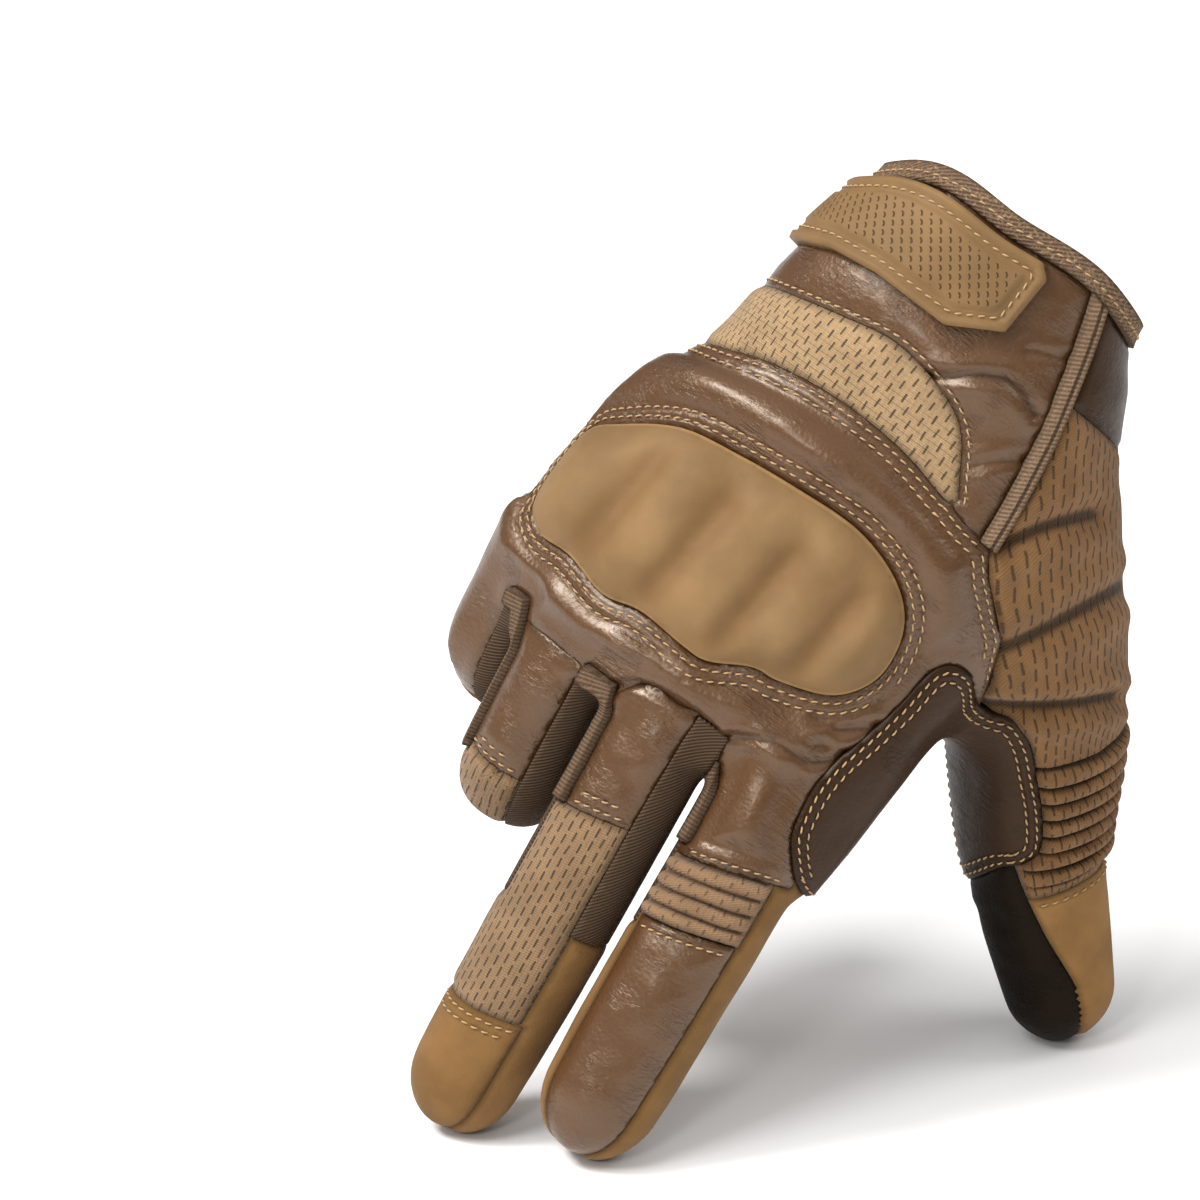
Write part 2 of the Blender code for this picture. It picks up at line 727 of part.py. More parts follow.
def cuff_leather(spot):
    return least(height_of(CUFF_END, spot) - spot["p"][:, 1], -flap_side(spot), body_back(spot))


def wrist_knit(spot):
    return least(within(WINDOW_TOP + WINDOW_LOW[1:], spot), body_back(spot))


def knuckle_guard(spot):
    return least(within(GUARD, spot), -6 * spot["n"][:, 2] + 1)


def web_patch(spot):
    return least(within(WEB_PATCH, spot), 9 * (0.30 - spot["n"][:, 2]))


def thumb_span(spot):
    edges = np.array(THUMB_PALM_EDGES)
    reach = spot["reach_thumb"] / THUMB_LENGTH
    low, high = (curve_through(edges[:, 0], edges[:, k], reach) for k in (1, 2))
    return between(spot, "thumb", low, high)


def thumb_tip(spot):
    return least(spot["reach_thumb"] - THUMB_STITCH * THUMB_LENGTH, thumb_span(spot), -spot["off_thumb"] + 3)


def thumb_palm(spot):
    low = spot["reach_thumb"] - 0.50 * THUMB_LENGTH
    return least(low, -thumb_span(spot), -spot["off_thumb"] + 3)


def thumb_knit(spot):
    line = in_hand([(-0.70, 0.418), (0.20, 0.418)] + BACK_EDGE[1:] + [(0.60, 0.90), (0.60, 1.60), (-0.70, 1.60)])
    back = from_line(line, True, spot["p"][:, :2])
    low = THUMB_STITCH * THUMB_LENGTH - spot["reach_thumb"]
    return least(-back, flap_side(spot), back_side(spot), low)


def finger_back(spot, name, crease):
    low, high = BACK_ANGLES[name]
    return least(
        own(spot, name),
        spot["p"][:, 1] - height_of(crease, spot),
        between(spot, name, low, high),
        seam(name, 0) - slanted(spot, name),
        3 - spot["off_" + name],
    )


def finger_knit(spot, name):
    low, high = KNIT_ANGLES[name]
    reach = slanted(spot, name)
    ends = least(reach - seam(name, 0), seam(name, 1) - reach)
    return least(own(spot, name), ends, between(spot, name, low, high))


def finger_tip(spot, name):
    low, high = TIP_ANGLES[name]
    return least(own(spot, name), slanted(spot, name) - seam(name, 1), between(spot, name, low, high))


def slit_sides(spot, slit):
    """The facing sides of two fingers, down to where the twill ends."""
    first, second, _ = SLITS[slit]
    right = between(spot, first, BACK_ANGLES[first][1], TWILL_END)
    left = between(spot, second, -TWILL_END, BACK_ANGLES[second][0] - piping_turn(second))
    one = least(own(spot, first), right, seam(first, 4) - spot["reach_" + first])
    two = least(own(spot, second), left, seam(second, 4) - spot["reach_" + second])
    return one, two


def piping_turn(name):
    """The angle that the piping takes up round its finger."""
    breadth = {"index": INDEX_BREADTH, "middle": MIDDLE_BREADTH, "ring": RING_BREADTH}
    return math.degrees(2 * PIPING / breadth[name])


def fourchette(spot, slit):
    top = SLITS[slit][2] * HAND_LENGTH
    one, two = slit_sides(spot, slit)
    return least(most(one, two), spot["p"][:, 1] - top)


def piping(spot, slit):
    first, second, top = SLITS[slit]
    inner = BACK_ANGLES[second][0]
    outer = inner - piping_turn(second)
    start = spot["p"][:, 1] - top * HAND_LENGTH + PIPING * 0.9
    edge = least(own(spot, second), between(spot, second, outer, inner), seam(second, 3) - spot["reach_" + second])
    side = least(own(spot, second), between(spot, second, -100, inner))
    high = BACK_ANGLES[first][1]
    loop = most(side, least(own(spot, first), between(spot, first, high, high + 60)))
    near = PIPING * 0.8 - np.abs(own(spot, second))
    round_top = least(loop, near, top * HAND_LENGTH - spot["p"][:, 1], -8 * spot["n"][:, 2] + 1)
    return least(most(edge, round_top), start, 6 - least(spot["off_" + first], spot["off_" + second]))


def back_leather(spot):
    ends = []
    for name, fringe in (("index", 0), ("little", 0)):
        on = limb_share(spot, name, 7.0) * (own(spot, name) > 0)
        ends.append(np.where(on > 0.5, seam(name, fringe) - slanted(spot, name), 40))
    for name in ("middle", "ring"):
        on = (limb_share(spot, name, 7.0) > 0.5) & (own(spot, name) > 0)
        ends.append(np.where(on, 40 - spot["reach_" + name], 40))
    return least(back_side(spot), *ends)


def cuff_underside(spot):
    return UNDERSIDE_END * HAND_LENGTH - spot["p"][:, 1]


def finger_front(spot, name):
    """The palm's side of a finger, from the line where it bends out of the palm."""
    length = {"index": INDEX_LENGTH, "middle": MIDDLE_LENGTH, "ring": RING_LENGTH, "little": LITTLE_LENGTH}
    reach = spot["reach_" + name] - FINGER_FRONT * length[name]
    return least(own(spot, name), reach, 4 - spot["off_" + name])


# Panels in the order in which they claim the skin, with the material of each
PANELS = {
    "cuff_binding": (cuff_binding, "binding"),
    "flap_binding": (flap_binding, "binding"),
    "inner_cuff": (inner_cuff, "leather"),
    "knuckle_guard": (knuckle_guard, "guard"),
    "wrist_knit": (wrist_knit, "knit"),
    "cuff_leather": (cuff_leather, "leather"),
    "web_patch": (web_patch, "leather"),
    "little_ring_piping": (lambda spot: piping(spot, "little_ring"), "twill"),
    "ring_middle_piping": (lambda spot: piping(spot, "ring_middle"), "twill"),
    "middle_index_piping": (lambda spot: piping(spot, "middle_index"), "twill"),
    "little_ring_fourchette": (lambda spot: fourchette(spot, "little_ring"), "twill"),
    "ring_middle_fourchette": (lambda spot: fourchette(spot, "ring_middle"), "twill"),
    "middle_index_fourchette": (lambda spot: fourchette(spot, "middle_index"), "twill"),
    "thumb_tip": (thumb_tip, "suede"),
    "thumb_palm": (thumb_palm, "dark_leather"),
    "index_ribs": (lambda spot: finger_knit(spot, "index"), "knit"),
    "middle_knit": (lambda spot: finger_knit(spot, "middle"), "knit"),
    "ring_knit": (lambda spot: finger_knit(spot, "ring"), "knit"),
    "little_knit": (lambda spot: finger_knit(spot, "little"), "knit"),
    "index_tip": (lambda spot: finger_tip(spot, "index"), "leather"),
    "middle_tip": (lambda spot: finger_tip(spot, "middle"), "suede"),
    "ring_tip": (lambda spot: finger_tip(spot, "ring"), "suede"),
    "little_tip": (lambda spot: finger_tip(spot, "little"), "suede"),
    "ring_back": (lambda spot: finger_back(spot, "ring", RING_CREASE), "leather"),
    "middle_back": (lambda spot: finger_back(spot, "middle", MIDDLE_CREASE), "leather"),
    "thumb_knit": (thumb_knit, "knit"),
    "back_leather": (back_leather, "leather"),
    "cuff_underside": (cuff_underside, "leather"),
    "index_front": (lambda spot: finger_front(spot, "index"), "suede"),
    "middle_front": (lambda spot: finger_front(spot, "middle"), "suede"),
    "ring_front": (lambda spot: finger_front(spot, "ring"), "suede"),
    "little_front": (lambda spot: finger_front(spot, "little"), "suede"),
    "palm": (lambda spot: np.full(len(spot["p"]), 9.0), "suede"),
}


def edges_of(faces):
    """Each edge once, and the edges of each face."""
    pairs = np.sort(faces[:, [0, 1, 1, 2, 2, 0]].reshape(-1, 2), axis=1)
    edges, index = np.unique(pairs, axis=0, return_inverse=True)
    return edges, index.reshape(-1, 3)


class Sheet:
    """The skin's triangles, with what the seams ask of each point kept beside the points."""

    def __init__(self, skin, points, faces):
        self.skin = skin
        self.faces = faces
        self.spot = skin.spots(points)
        self.locked = np.zeros(len(points), bool)

    def cut(self, function, free=None):
        """Lays edges along the line where the function is 0, where free is positive."""
        self.refine(function, free)
        value = function(self.spot)
        value[np.abs(value) < np.where(self.locked, SEAM_SNAP, 0.01)] = 0.0
        edges, _ = edges_of(self.faces)
        a, b = edges.T
        crossing = value[a] * value[b] < 0
        t = self.where_zero(function, edges, value, crossing)
        crossing = self.open_at(edges, t, crossing, free)
        # A point near the line slides onto it, along the edge that needs it least
        points = self.spot["p"].copy()
        best = np.full(len(points), 0.30)
        for end, other, share in ((a, b, t), (b, a, 1 - t)):
            near = crossing & (share < 0.30) & ~self.locked[end]
            order = np.argsort(-share[near], kind="stable")
            at = np.nonzero(near)[0][order]
            better = share[at] < best[end[at]]
            at = at[better]
            best[end[at]] = share[at]
            step = share[at][:, None] * (self.spot["p"][other[at]] - self.spot["p"][end[at]])
            points[end[at]] = self.spot["p"][end[at]] + step
        moved = np.nonzero(best < 0.30)[0]
        moved = moved[~np.isin(moved, self.folded(points))]
        if len(moved):
            fresh = self.skin.spots(points[moved])
            for key in self.spot:
                self.spot[key][moved] = fresh[key]
            self.locked[moved] = True
            value[moved] = 0.0
        crossing = (value[a] * value[b] < 0) & crossing
        t = self.where_zero(function, edges, value, crossing)
        if crossing.any():
            self.add_points(edges, np.clip(t, 0.04, 0.96), crossing, True)

    def folded(self, points):
        """The corners of faces that would turn over if the points moved there."""
        corners = points[self.faces]
        normal = np.cross(corners[:, 1] - corners[:, 0], corners[:, 2] - corners[:, 0])
        over = (normal * self.spot["n"][self.faces].sum(1)).sum(1) < 0.2 * np.linalg.norm(normal, axis=1)
        return self.faces[over]

    def where_zero(self, function, edges, value, crossing):
        """The share of each crossing edge at which the function is 0, found in three steps."""
        t = np.full(len(edges), 0.5)
        ends = self.spot["p"][edges[crossing]]
        if not len(ends):
            return t
        low, high = np.zeros(len(ends)), np.ones(len(ends))
        at_low, at_high = value[edges[crossing]].T
        for _ in range(4):
            share = low + (high - low) * np.clip(at_low / (at_low - at_high), 0.1, 0.9)
            now = function(self.skin.spots(ends[:, 0] + (ends[:, 1] - ends[:, 0]) * share[:, None]))
            below = now * at_low > 0
            low, at_low = np.where(below, share, low), np.where(below, now, at_low)
            high, at_high = np.where(below, high, share), np.where(below, at_high, now)
        t[crossing] = low + (high - low) * at_low / np.where(at_low == at_high, 1, at_low - at_high)
        return t

    def open_at(self, edges, t, chosen, free):
        """The chosen edges whose point at t is free."""
        chosen = chosen.copy()
        if free and chosen.any():
            ends = self.spot["p"][edges[chosen]]
            share = t[chosen][:, None]
            chosen[chosen] = free(self.skin.spots(ends[:, 0] * (1 - share) + ends[:, 1] * share)) > 0
        return chosen

    def refine(self, function, free):
        """Halves long edges that step over the line, so that a narrow panel isn't missed."""
        for _ in range(2):
            value = function(self.spot)
            edges, _ = edges_of(self.faces)
            a, b = edges.T
            points = self.spot["p"]
            length = np.linalg.norm(points[a] - points[b], axis=1)
            over = (length > LONGEST_EDGE) & (value[a] * value[b] > 0)
            middle = self.skin.spots((points[a[over]] + points[b[over]]) / 2)
            stepped = function(middle) * value[a[over]] < 0
            if free and len(stepped):
                stepped &= free(middle) > 0
            over[over] = stepped
            if not over.any():
                return
            self.add_points(edges, np.full(len(edges), 0.5), over, False)

    def add_points(self, edges, t, chosen, lock):
        """Adds a point at t on each chosen edge and splits the faces there."""
        new = np.full(len(edges), -1)
        new[chosen] = len(self.locked) + np.arange(chosen.sum())
        ends = self.spot["p"][edges[chosen]]
        share = t[chosen][:, None]
        fresh = self.skin.spots(ends[:, 0] * (1 - share) + ends[:, 1] * share)
        for key in self.spot:
            self.spot[key] = np.concatenate([self.spot[key], fresh[key]])
        both = self.locked[edges[chosen]].all(1)
        self.locked = np.concatenate([self.locked, both | lock])
        self.split(new)

    def split(self, new):
        """Splits each face through the new points of its edges."""
        _, index = edges_of(self.faces)
        middle = new[index]
        count = (middle >= 0).sum(1)
        out = [self.faces[count == 0]]
        for corner in range(3):
            turn = [corner, (corner + 1) % 3, (corner + 2) % 3]
            one = (count == 1) & (middle[:, corner] >= 0)
            f, m = self.faces[one][:, turn], middle[one][:, corner]
            out.append(np.stack([f[:, 0], m, f[:, 2]], 1))
            out.append(np.stack([m, f[:, 1], f[:, 2]], 1))
            two = (count == 2) & (middle[:, turn[2]] < 0)
            f, m0, m1 = self.faces[two][:, turn], middle[two][:, turn[0]], middle[two][:, turn[1]]
            out.append(np.stack([m0, f[:, 1], m1], 1))
            points = self.spot["p"]
            first = np.linalg.norm(points[m0] - points[f[:, 2]], axis=1)
            second = np.linalg.norm(points[f[:, 0]] - points[m1], axis=1)
            short = first < second
            out.append(np.stack([f[:, 0], m0, np.where(short, f[:, 2], m1)], 1))
            out.append(np.stack([np.where(short, m0, f[:, 0]), m1, f[:, 2]], 1))
        three = count == 3
        f, m = self.faces[three], middle[three]
        out.append(m)
        for corner in range(3):
            out.append(np.stack([f[:, corner], m[:, corner], m[:, corner - 1]], 1))
        self.faces = np.concatenate(out)

    def centres(self):
        return self.skin.spots(self.spot["p"][self.faces].mean(1))


def islands(faces, labels):
    """A number for each connected patch of faces with one label."""
    edges, index = edges_of(faces)
    order = np.argsort(index.reshape(-1), kind="stable")
    sides = index.reshape(-1)[order]
    owner = order // 3
    same = sides[1:] == sides[:-1]
    one, two = owner[:-1][same], owner[1:][same]
    joined = labels[one] == labels[two]
    group = np.arange(len(faces))
    a, b = one[joined], two[joined]
    while True:
        low = np.minimum(group[a], group[b])
        before = group.copy()
        np.minimum.at(group, a, low)
        np.minimum.at(group, b, low)
        group = group[group]
        if (group == before).all():
            return group, one, two


def settle(faces, labels, points):
    """Gives stray patches of a panel to the neighbour with which they share most."""
    for _ in range(6):
        group, one, two = islands(faces, labels)
        corners = points[faces]
        area = np.linalg.norm(np.cross(corners[:, 1] - corners[:, 0], corners[:, 2] - corners[:, 0]), axis=1)
        sums = np.bincount(group, area, len(faces))
        keep = {}
        for g in np.unique(group):
            name = labels[g]
            if name not in keep or sums[g] > sums[keep[name]]:
                keep[name] = g
        stray = ~np.isin(group, list(keep.values()))
        if not stray.any():
            break
        for g in np.unique(group[stray]):
            touch = ((group[one] == g) ^ (group[two] == g)) & (labels[one] != labels[two])
            if not touch.any():
                continue
            beside = np.where(group[one[touch]] == g, labels[two[touch]], labels[one[touch]])
            names, counts = np.unique(beside, return_counts=True)
            labels[group == g] = names[np.argmax(counts)]
    return labels


def swell(spot):
    """The soft rise of the leather between its seams."""
    flat = spot["p"][:, :2]
    rise = np.zeros(len(flat))
    for across, along, half_x, half_y, share in SWELLS:
        x = (flat[:, 0] - across * HAND_BREADTH) / (half_x * HAND_BREADTH)
        y = (flat[:, 1] - along * HAND_LENGTH) / (half_y * HAND_LENGTH)
        rise += share * HAND_DEPTH * np.exp(-(x * x + y * y) * 1.6)
    return rise * smoothstep(-spot["n"][:, 2] * 1.6)


def guard_relief(spot):
    """The guard's rise from its edge, with knuckle ridges between valleys."""
    edge = np.clip(within(GUARD, spot), 0, None)
    rim = 1 - (1 - np.clip(edge / 9, 0, 1)) ** 2
    valleys = np.array(GUARD_VALLEYS) * HAND_BREADTH
    near = np.abs(spot["p"][:, :1] - valleys).min(1)
    ridge = smoothstep(near / 7) - 0.5
    return 0.8 + (GUARD_RISE - 0.8) * rim + GUARD_RIDGE * ridge * smoothstep(edge / 8)


def thumb_rib_waves(spot):
    """Phase of the thumb's ribs: 0 in each valley and 1 on each crest."""
    end = THUMB_STITCH * THUMB_LENGTH - THUMB_RIB_PITCH * 0.8
    return (end - spot["reach_thumb"]) / THUMB_RIB_PITCH


def index_rib_waves(spot):
    return (seam("index", 1) - slanted(spot, "index")) / INDEX_RIB_PITCH


def ribs(phase, count, rise):
    inside = (phase > 0) & (phase < count)
    wave = np.abs(np.sin(np.pi * phase)) ** 0.7
    return np.where(inside, rise * wave, 0.0)


def relief(name, spot):
    """How far a panel's outer face stands off the skin, and how far its middle does."""
    soft = swell(spot)
    if name == "knuckle_guard":
        return soft + guard_relief(spot), soft
    if name == "cuff_binding":
        return soft + RIM_RISE, soft
    if name == "flap_binding":
        return soft + FLAP_RISE, soft
    if name.endswith("piping"):
        return soft + PIPING_RISE, soft
    if name == "thumb_knit":
        across = smoothstep(thumb_span(spot) / 3)
        return soft + across * ribs(thumb_rib_waves(spot), THUMB_RIBS, THUMB_RIB_RISE), soft
    if name == "index_ribs":
        across = smoothstep(between(spot, "index", *KNIT_ANGLES["index"]) / 2.5)
        return soft + across * ribs(index_rib_waves(spot), INDEX_RIBS, INDEX_RIB_RISE), soft
    if name == "web_patch":
        return soft + 0.5, soft
    return soft, soft


def wall_of(name):
    material = PANELS[name][1]
    walls = {"leather": LEATHER_WALL, "dark_leather": LEATHER_WALL, "suede": SUEDE_WALL, "guard": GUARD_WALL}
    return walls.get(material, KNIT_WALL)


def fans(faces, border):
    """Gives a point that a panel touches twice a copy for each fan of faces round it."""
    start = {}
    for a, b in border:
        start.setdefault(a, []).append(b)
    doubled = [v for v, ends in start.items() if len(ends) > 1]
    return doubled


def panel_mesh(spot, faces):
    """The panel's own points and faces, with its border and the way in from it at each point."""
    used, index = np.unique(faces, return_inverse=True)
    faces = index.reshape(-1, 3)
    points = spot["p"][used]
    normals = spot["n"][used]
    source = used.copy()
    # Points where the panel touches itself are parted, a copy for each fan of faces
    for _ in range(4):
        directed = faces[:, [0, 1, 1, 2, 2, 0]].reshape(-1, 2)
        have = set(map(tuple, directed.tolist()))
        border = [edge for edge in map(tuple, directed.tolist()) if edge[::-1] not in have]
        doubled = fans(faces, border)
        if not doubled:
            break
        for v in doubled:
            around = np.nonzero((faces == v).any(1))[0]
            group = {around[0]}
            grown = True
            while grown:
                grown = False
                for f in around:
                    if f in group:
                        continue
                    others = set(faces[f]) - {v}
                    if any(others & (set(faces[g]) - {v}) for g in group):
                        group.add(f)
                        grown = True
            rest = [f for f in around if f not in group]
            if not rest:
                continue
            fresh = len(points)
            points = np.concatenate([points, points[v : v + 1]])
            normals = np.concatenate([normals, normals[v : v + 1]])
            source = np.concatenate([source, source[v : v + 1]])
            block = faces[rest]
            block[block == v] = fresh
            faces[rest] = block
    border = np.array(border)
    # Inward direction along the skin, mitred at corners
    along = points[border[:, 1]] - points[border[:, 0]]
    along /= np.maximum(np.linalg.norm(along, axis=1), 1e-9)[:, None]
    total = np.zeros_like(points)
    count = np.zeros(len(points))
    for end in (0, 1):
        inward = np.cross(normals[border[:, end]], along)
        inward /= np.maximum(np.linalg.norm(inward, axis=1), 1e-9)[:, None]
        np.add.at(total, border[:, end], inward)
        np.add.at(count, border[:, end], 1)
    edge = count > 0
    size = (total[edge] ** 2).sum(1)
    inward = np.zeros_like(points)
    inward[edge] = total[edge] * (2 / np.maximum(size, 0.8))[:, None]
    return points, normals, faces, border, source, inward


class Wall:
    """A closed wall: the outer face at rise, the inner one a wall below base, and sides round the border."""

    def __init__(self, spot, faces, base, rise, wall, gap):
        self.points, self.normals, faces, border, source, self.inward = panel_mesh(spot, faces)
        self.rise = rise[source]
        self.under = base[source] - wall
        self.gap = gap
        count = len(self.points)
        self.give = np.zeros(2 * count)
        sides = np.concatenate(
            [
                np.stack([border[:, 1], border[:, 0], border[:, 0] + count], 1),
                np.stack([border[:, 1], border[:, 0] + count, border[:, 1] + count], 1),
            ]
        )
        self.faces = np.concatenate([faces, faces[:, ::-1] + count, sides])

    def solid(self):
        """The wall's points, drawn in where it gives way to a neighbour."""
        count = len(self.points)
        out, under = self.give[:count, None], self.give[count:, None]
        outer = self.points + self.inward * (self.gap + out)
        inner = self.points + self.inward * (self.gap + under)
        outer = outer + self.normals * (self.rise[:, None] - 0.7 * out)
        return np.concatenate([outer, inner + self.normals * (self.under[:, None] + 0.7 * under)])


def part_neighbours(walls):
    """Draws walls in by small steps where two of them still touch in a tight fold."""
    for _ in range(GIVE_ROUNDS):
        solids = {name: wall.solid() for name, wall in walls.items()}
        trees = {name: BVHTree.FromPolygons(solids[name].tolist(), walls[name].faces.tolist()) for name in walls}
        touched = {name: set() for name in walls}
        for one, two in itertools.combinations(walls, 2):
            if (solids[one].min(0) > solids[two].max(0)).any() or (solids[two].min(0) > solids[one].max(0)).any():
                continue
            for face, other in trees[one].overlap(trees[two]):
                touched[one].update(walls[one].faces[face].tolist())
                touched[two].update(walls[two].faces[other].tolist())
        if not any(touched.values()):
            return
        for name, places in touched.items():
            walls[name].give[sorted(places)] += GIVE_STEP


COLOURS = {
    "leather": (0.150, 0.078, 0.040, 1.0),
    "dark_leather": (0.085, 0.046, 0.026, 1.0),
    "suede": (0.330, 0.215, 0.125, 1.0),
    "guard": (0.260, 0.155, 0.080, 1.0),
    "rubber": (0.290, 0.180, 0.100, 1.0),
    "knit": (0.360, 0.255, 0.160, 1.0),
    "twill": (0.150, 0.115, 0.090, 1.0),
    "binding": (0.130, 0.092, 0.066, 1.0),
}
ROUGHNESS = {"leather": 0.42, "dark_leather": 0.5, "guard": 0.6, "rubber": 0.62}


def add_object(name, points, faces, material):
    mesh = bpy.data.meshes.new(name)
    mesh.from_pydata(to_row(points).tolist(), [], faces.tolist())
    mesh.update()
    item = bpy.data.objects.new(name, mesh)
    bpy.context.scene.collection.objects.link(item)
    paint = bpy.data.materials.new(name)
    paint.use_nodes = True
    shader = paint.node_tree.nodes["Principled BSDF"]
    shader.inputs["Base Color"].default_value = COLOURS[material]
    shader.inputs["Roughness"].default_value = ROUGHNESS.get(material, 0.9)
    mesh.materials.append(paint)
    return item


def claimed(names):
    """Positive where none of the named panels lies."""

    def free(spot):
        if not names:
            return np.ones(len(spot["p"]))
        return -np.maximum.reduce([PANELS[name][0](spot) for name in names])

    return free


def rim_cut(spot):
    return spot["p"][:, 1] - height_of(RIM, spot)


def strap_pad(spot):
    """The strap's end on the back of the cuff, led round its little-finger side."""
    outline = from_line(in_hand(STRAP_PAD), True, spot["p"][:, :2])
    return least(outline, body_back(spot) + STRAP_REACH, -cuff_binding(spot) - STRAP_MARGIN)


def main():
    clear_scene()
    skin = Skin(1.2)
    points, faces = skin.mesh()
    points, faces = simplified(points, faces, FACES)
    sheet = Sheet(skin, points, faces)
    sheet.cut(rim_cut)
    sheet.faces = sheet.faces[rim_cut(sheet.centres()) > 0]
    names = list(PANELS)
    for place, name in enumerate(names[:-1]):
        sheet.cut(PANELS[name][0], claimed(names[:place]))
    sheet.cut(strap_pad)
    sheet.cut(lambda spot: within(GUARD, spot) - 3.0, PANELS["knuckle_guard"][0])
    for valley in GUARD_VALLEYS:
        sheet.cut(lambda spot, at=valley: spot["p"][:, 0] - at * HAND_BREADTH, PANELS["knuckle_guard"][0])
    for half in range(2 * THUMB_RIBS + 1):
        sheet.cut(lambda spot, at=half / 2: thumb_rib_waves(spot) - at, PANELS["thumb_knit"][0])
    for half in range(1, 2 * INDEX_RIBS):
        sheet.cut(lambda spot, at=half / 2: index_rib_waves(spot) - at, PANELS["index_ribs"][0])
    centres = sheet.centres()
    labels = np.full(len(sheet.faces), len(names) - 1)
    for place in range(len(names) - 2, -1, -1):
        labels[PANELS[names[place]][0](centres) > 0] = place
    labels = settle(sheet.faces, labels, sheet.spot["p"])
    walls = {}
    for place, name in enumerate(names):
        rise, base = relief(name, sheet.spot)
        chosen = sheet.faces[labels == place]
        walls[name] = Wall(sheet.spot, chosen, base, rise, wall_of(name), CLEARANCE / 2)
    carriers = [names.index("cuff_leather"), names.index("cuff_underside")]
    on_pad = (strap_pad(centres) > 0) & np.isin(labels, carriers)
    base = swell(sheet.spot) + CLEARANCE + STRAP_WALL
    walls["strap_pad"] = Wall(sheet.spot, sheet.faces[on_pad], base, base, STRAP_WALL, 0.0)
    part_neighbours(walls)
    for name, wall in walls.items():
        material = PANELS[name][1] if name in PANELS else "rubber"
        add_object(name, wall.solid(), wall.faces, material)


main()
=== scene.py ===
"""Looks of the right-hand tactical glove: leather, knit, suede, hard guard, strap pad and all stitches.

The skin is worked out from the same named sizes as the solids, on a finer mesh. It is cut along the seams,
and each panel gets its wall, its folds, its cloth coordinates and its material.
"""

import math
from collections import Counter

import bpy
import numpy as np
import openvdb
from mathutils import Matrix
from mathutils import Vector
from mathutils.kdtree import KDTree


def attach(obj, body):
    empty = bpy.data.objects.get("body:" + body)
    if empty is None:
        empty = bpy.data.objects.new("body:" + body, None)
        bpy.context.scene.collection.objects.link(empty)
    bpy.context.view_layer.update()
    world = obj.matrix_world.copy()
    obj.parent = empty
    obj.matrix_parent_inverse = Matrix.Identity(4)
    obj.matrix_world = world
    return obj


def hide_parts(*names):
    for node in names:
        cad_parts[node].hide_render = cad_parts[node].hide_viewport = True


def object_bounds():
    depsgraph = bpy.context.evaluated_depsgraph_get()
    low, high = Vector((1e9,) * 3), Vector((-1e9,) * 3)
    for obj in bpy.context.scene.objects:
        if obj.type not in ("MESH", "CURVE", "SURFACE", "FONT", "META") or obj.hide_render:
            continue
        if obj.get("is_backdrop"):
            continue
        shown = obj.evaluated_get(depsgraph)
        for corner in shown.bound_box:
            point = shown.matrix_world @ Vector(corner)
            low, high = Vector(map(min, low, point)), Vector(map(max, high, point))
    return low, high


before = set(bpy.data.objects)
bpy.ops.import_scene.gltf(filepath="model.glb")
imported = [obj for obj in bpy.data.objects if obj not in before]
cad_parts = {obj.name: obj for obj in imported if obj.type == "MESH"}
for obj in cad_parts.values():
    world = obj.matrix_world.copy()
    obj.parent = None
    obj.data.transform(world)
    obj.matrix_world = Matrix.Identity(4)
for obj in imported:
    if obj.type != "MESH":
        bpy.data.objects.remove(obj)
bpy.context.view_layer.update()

# The grid's step in millimetres, and how often the mesh of the ribs is split
VOXEL = 1.0
RIB_SPLITS = 2

# Named sizes, in millimetres
HAND_LENGTH = 119.0
HAND_BREADTH = 91.0
HAND_DEPTH = 33.0
CUFF_BREADTH = 59.6
CUFF_DEPTH = 48.0
INDEX_LENGTH = 100.0
INDEX_BREADTH = 25.6
MIDDLE_LENGTH = 111.0
MIDDLE_BREADTH = 24.2
RING_LENGTH = 92.0
RING_BREADTH = 22.6
LITTLE_LENGTH = 78.0
LITTLE_BREADTH = 20.8
THUMB_LENGTH = 130.0
THUMB_BREADTH = 37.0
FINGER_SPACE = 2.2
LEATHER_WALL = 1.6
KNIT_WALL = 1.8
SUEDE_WALL = 1.5
GUARD_WALL = 2.0
GUARD_RISE = 4.6
GUARD_RIDGE = 1.3
STRAP_WALL = 2.4
STRAP_REACH = 12.0
STRAP_MARGIN = 1.0
CLEARANCE = 0.3
RIM_BINDING = 4.6
RIM_RISE = 0.8
FLAP_BINDING = 3.8
FLAP_RISE = 1.0
PIPING = 3.6
PIPING_RISE = 1.0
THUMB_RIB_PITCH = 4.3
THUMB_RIB_RISE = 1.7
INDEX_RIB_PITCH = 3.4
INDEX_RIB_RISE = 1.3

# Roundings between the parts of the skin, in millimetres
FINGER_BLEND = 4.0
WEB_BLEND = 7.0
THUMB_BLEND = 20.0

# The grid of distances: its margin round the skin, how far it reads and the step for slopes, in millimetres
GRID_MARGIN = 9
GRID_REACH = 22
SLOPE_STEP = 0.8

# Length of the rounded tips as shares of the limb's breadth
FINGER_CAP = 0.57
THUMB_CAP = 0.3

# Counts
THUMB_RIBS = 7
INDEX_RIBS = 4

# Length and breadth of each limb
LIMBS = {
    "index": (INDEX_LENGTH, INDEX_BREADTH),
    "middle": (MIDDLE_LENGTH, MIDDLE_BREADTH),
    "ring": (RING_LENGTH, RING_BREADTH),
    "little": (LITTLE_LENGTH, LITTLE_BREADTH),
    "thumb": (THUMB_LENGTH, THUMB_BREADTH),
}

# Spans in millimetres over which a limb's seams take over from the hand's
FINGER_TURN = 7.0
THUMB_TURN = 18.0

# Shares of an edge: a point nearer to a seam than the first slides onto it, and a new point keeps the second
SNAP = 0.35
EDGE_MARGIN = 0.03

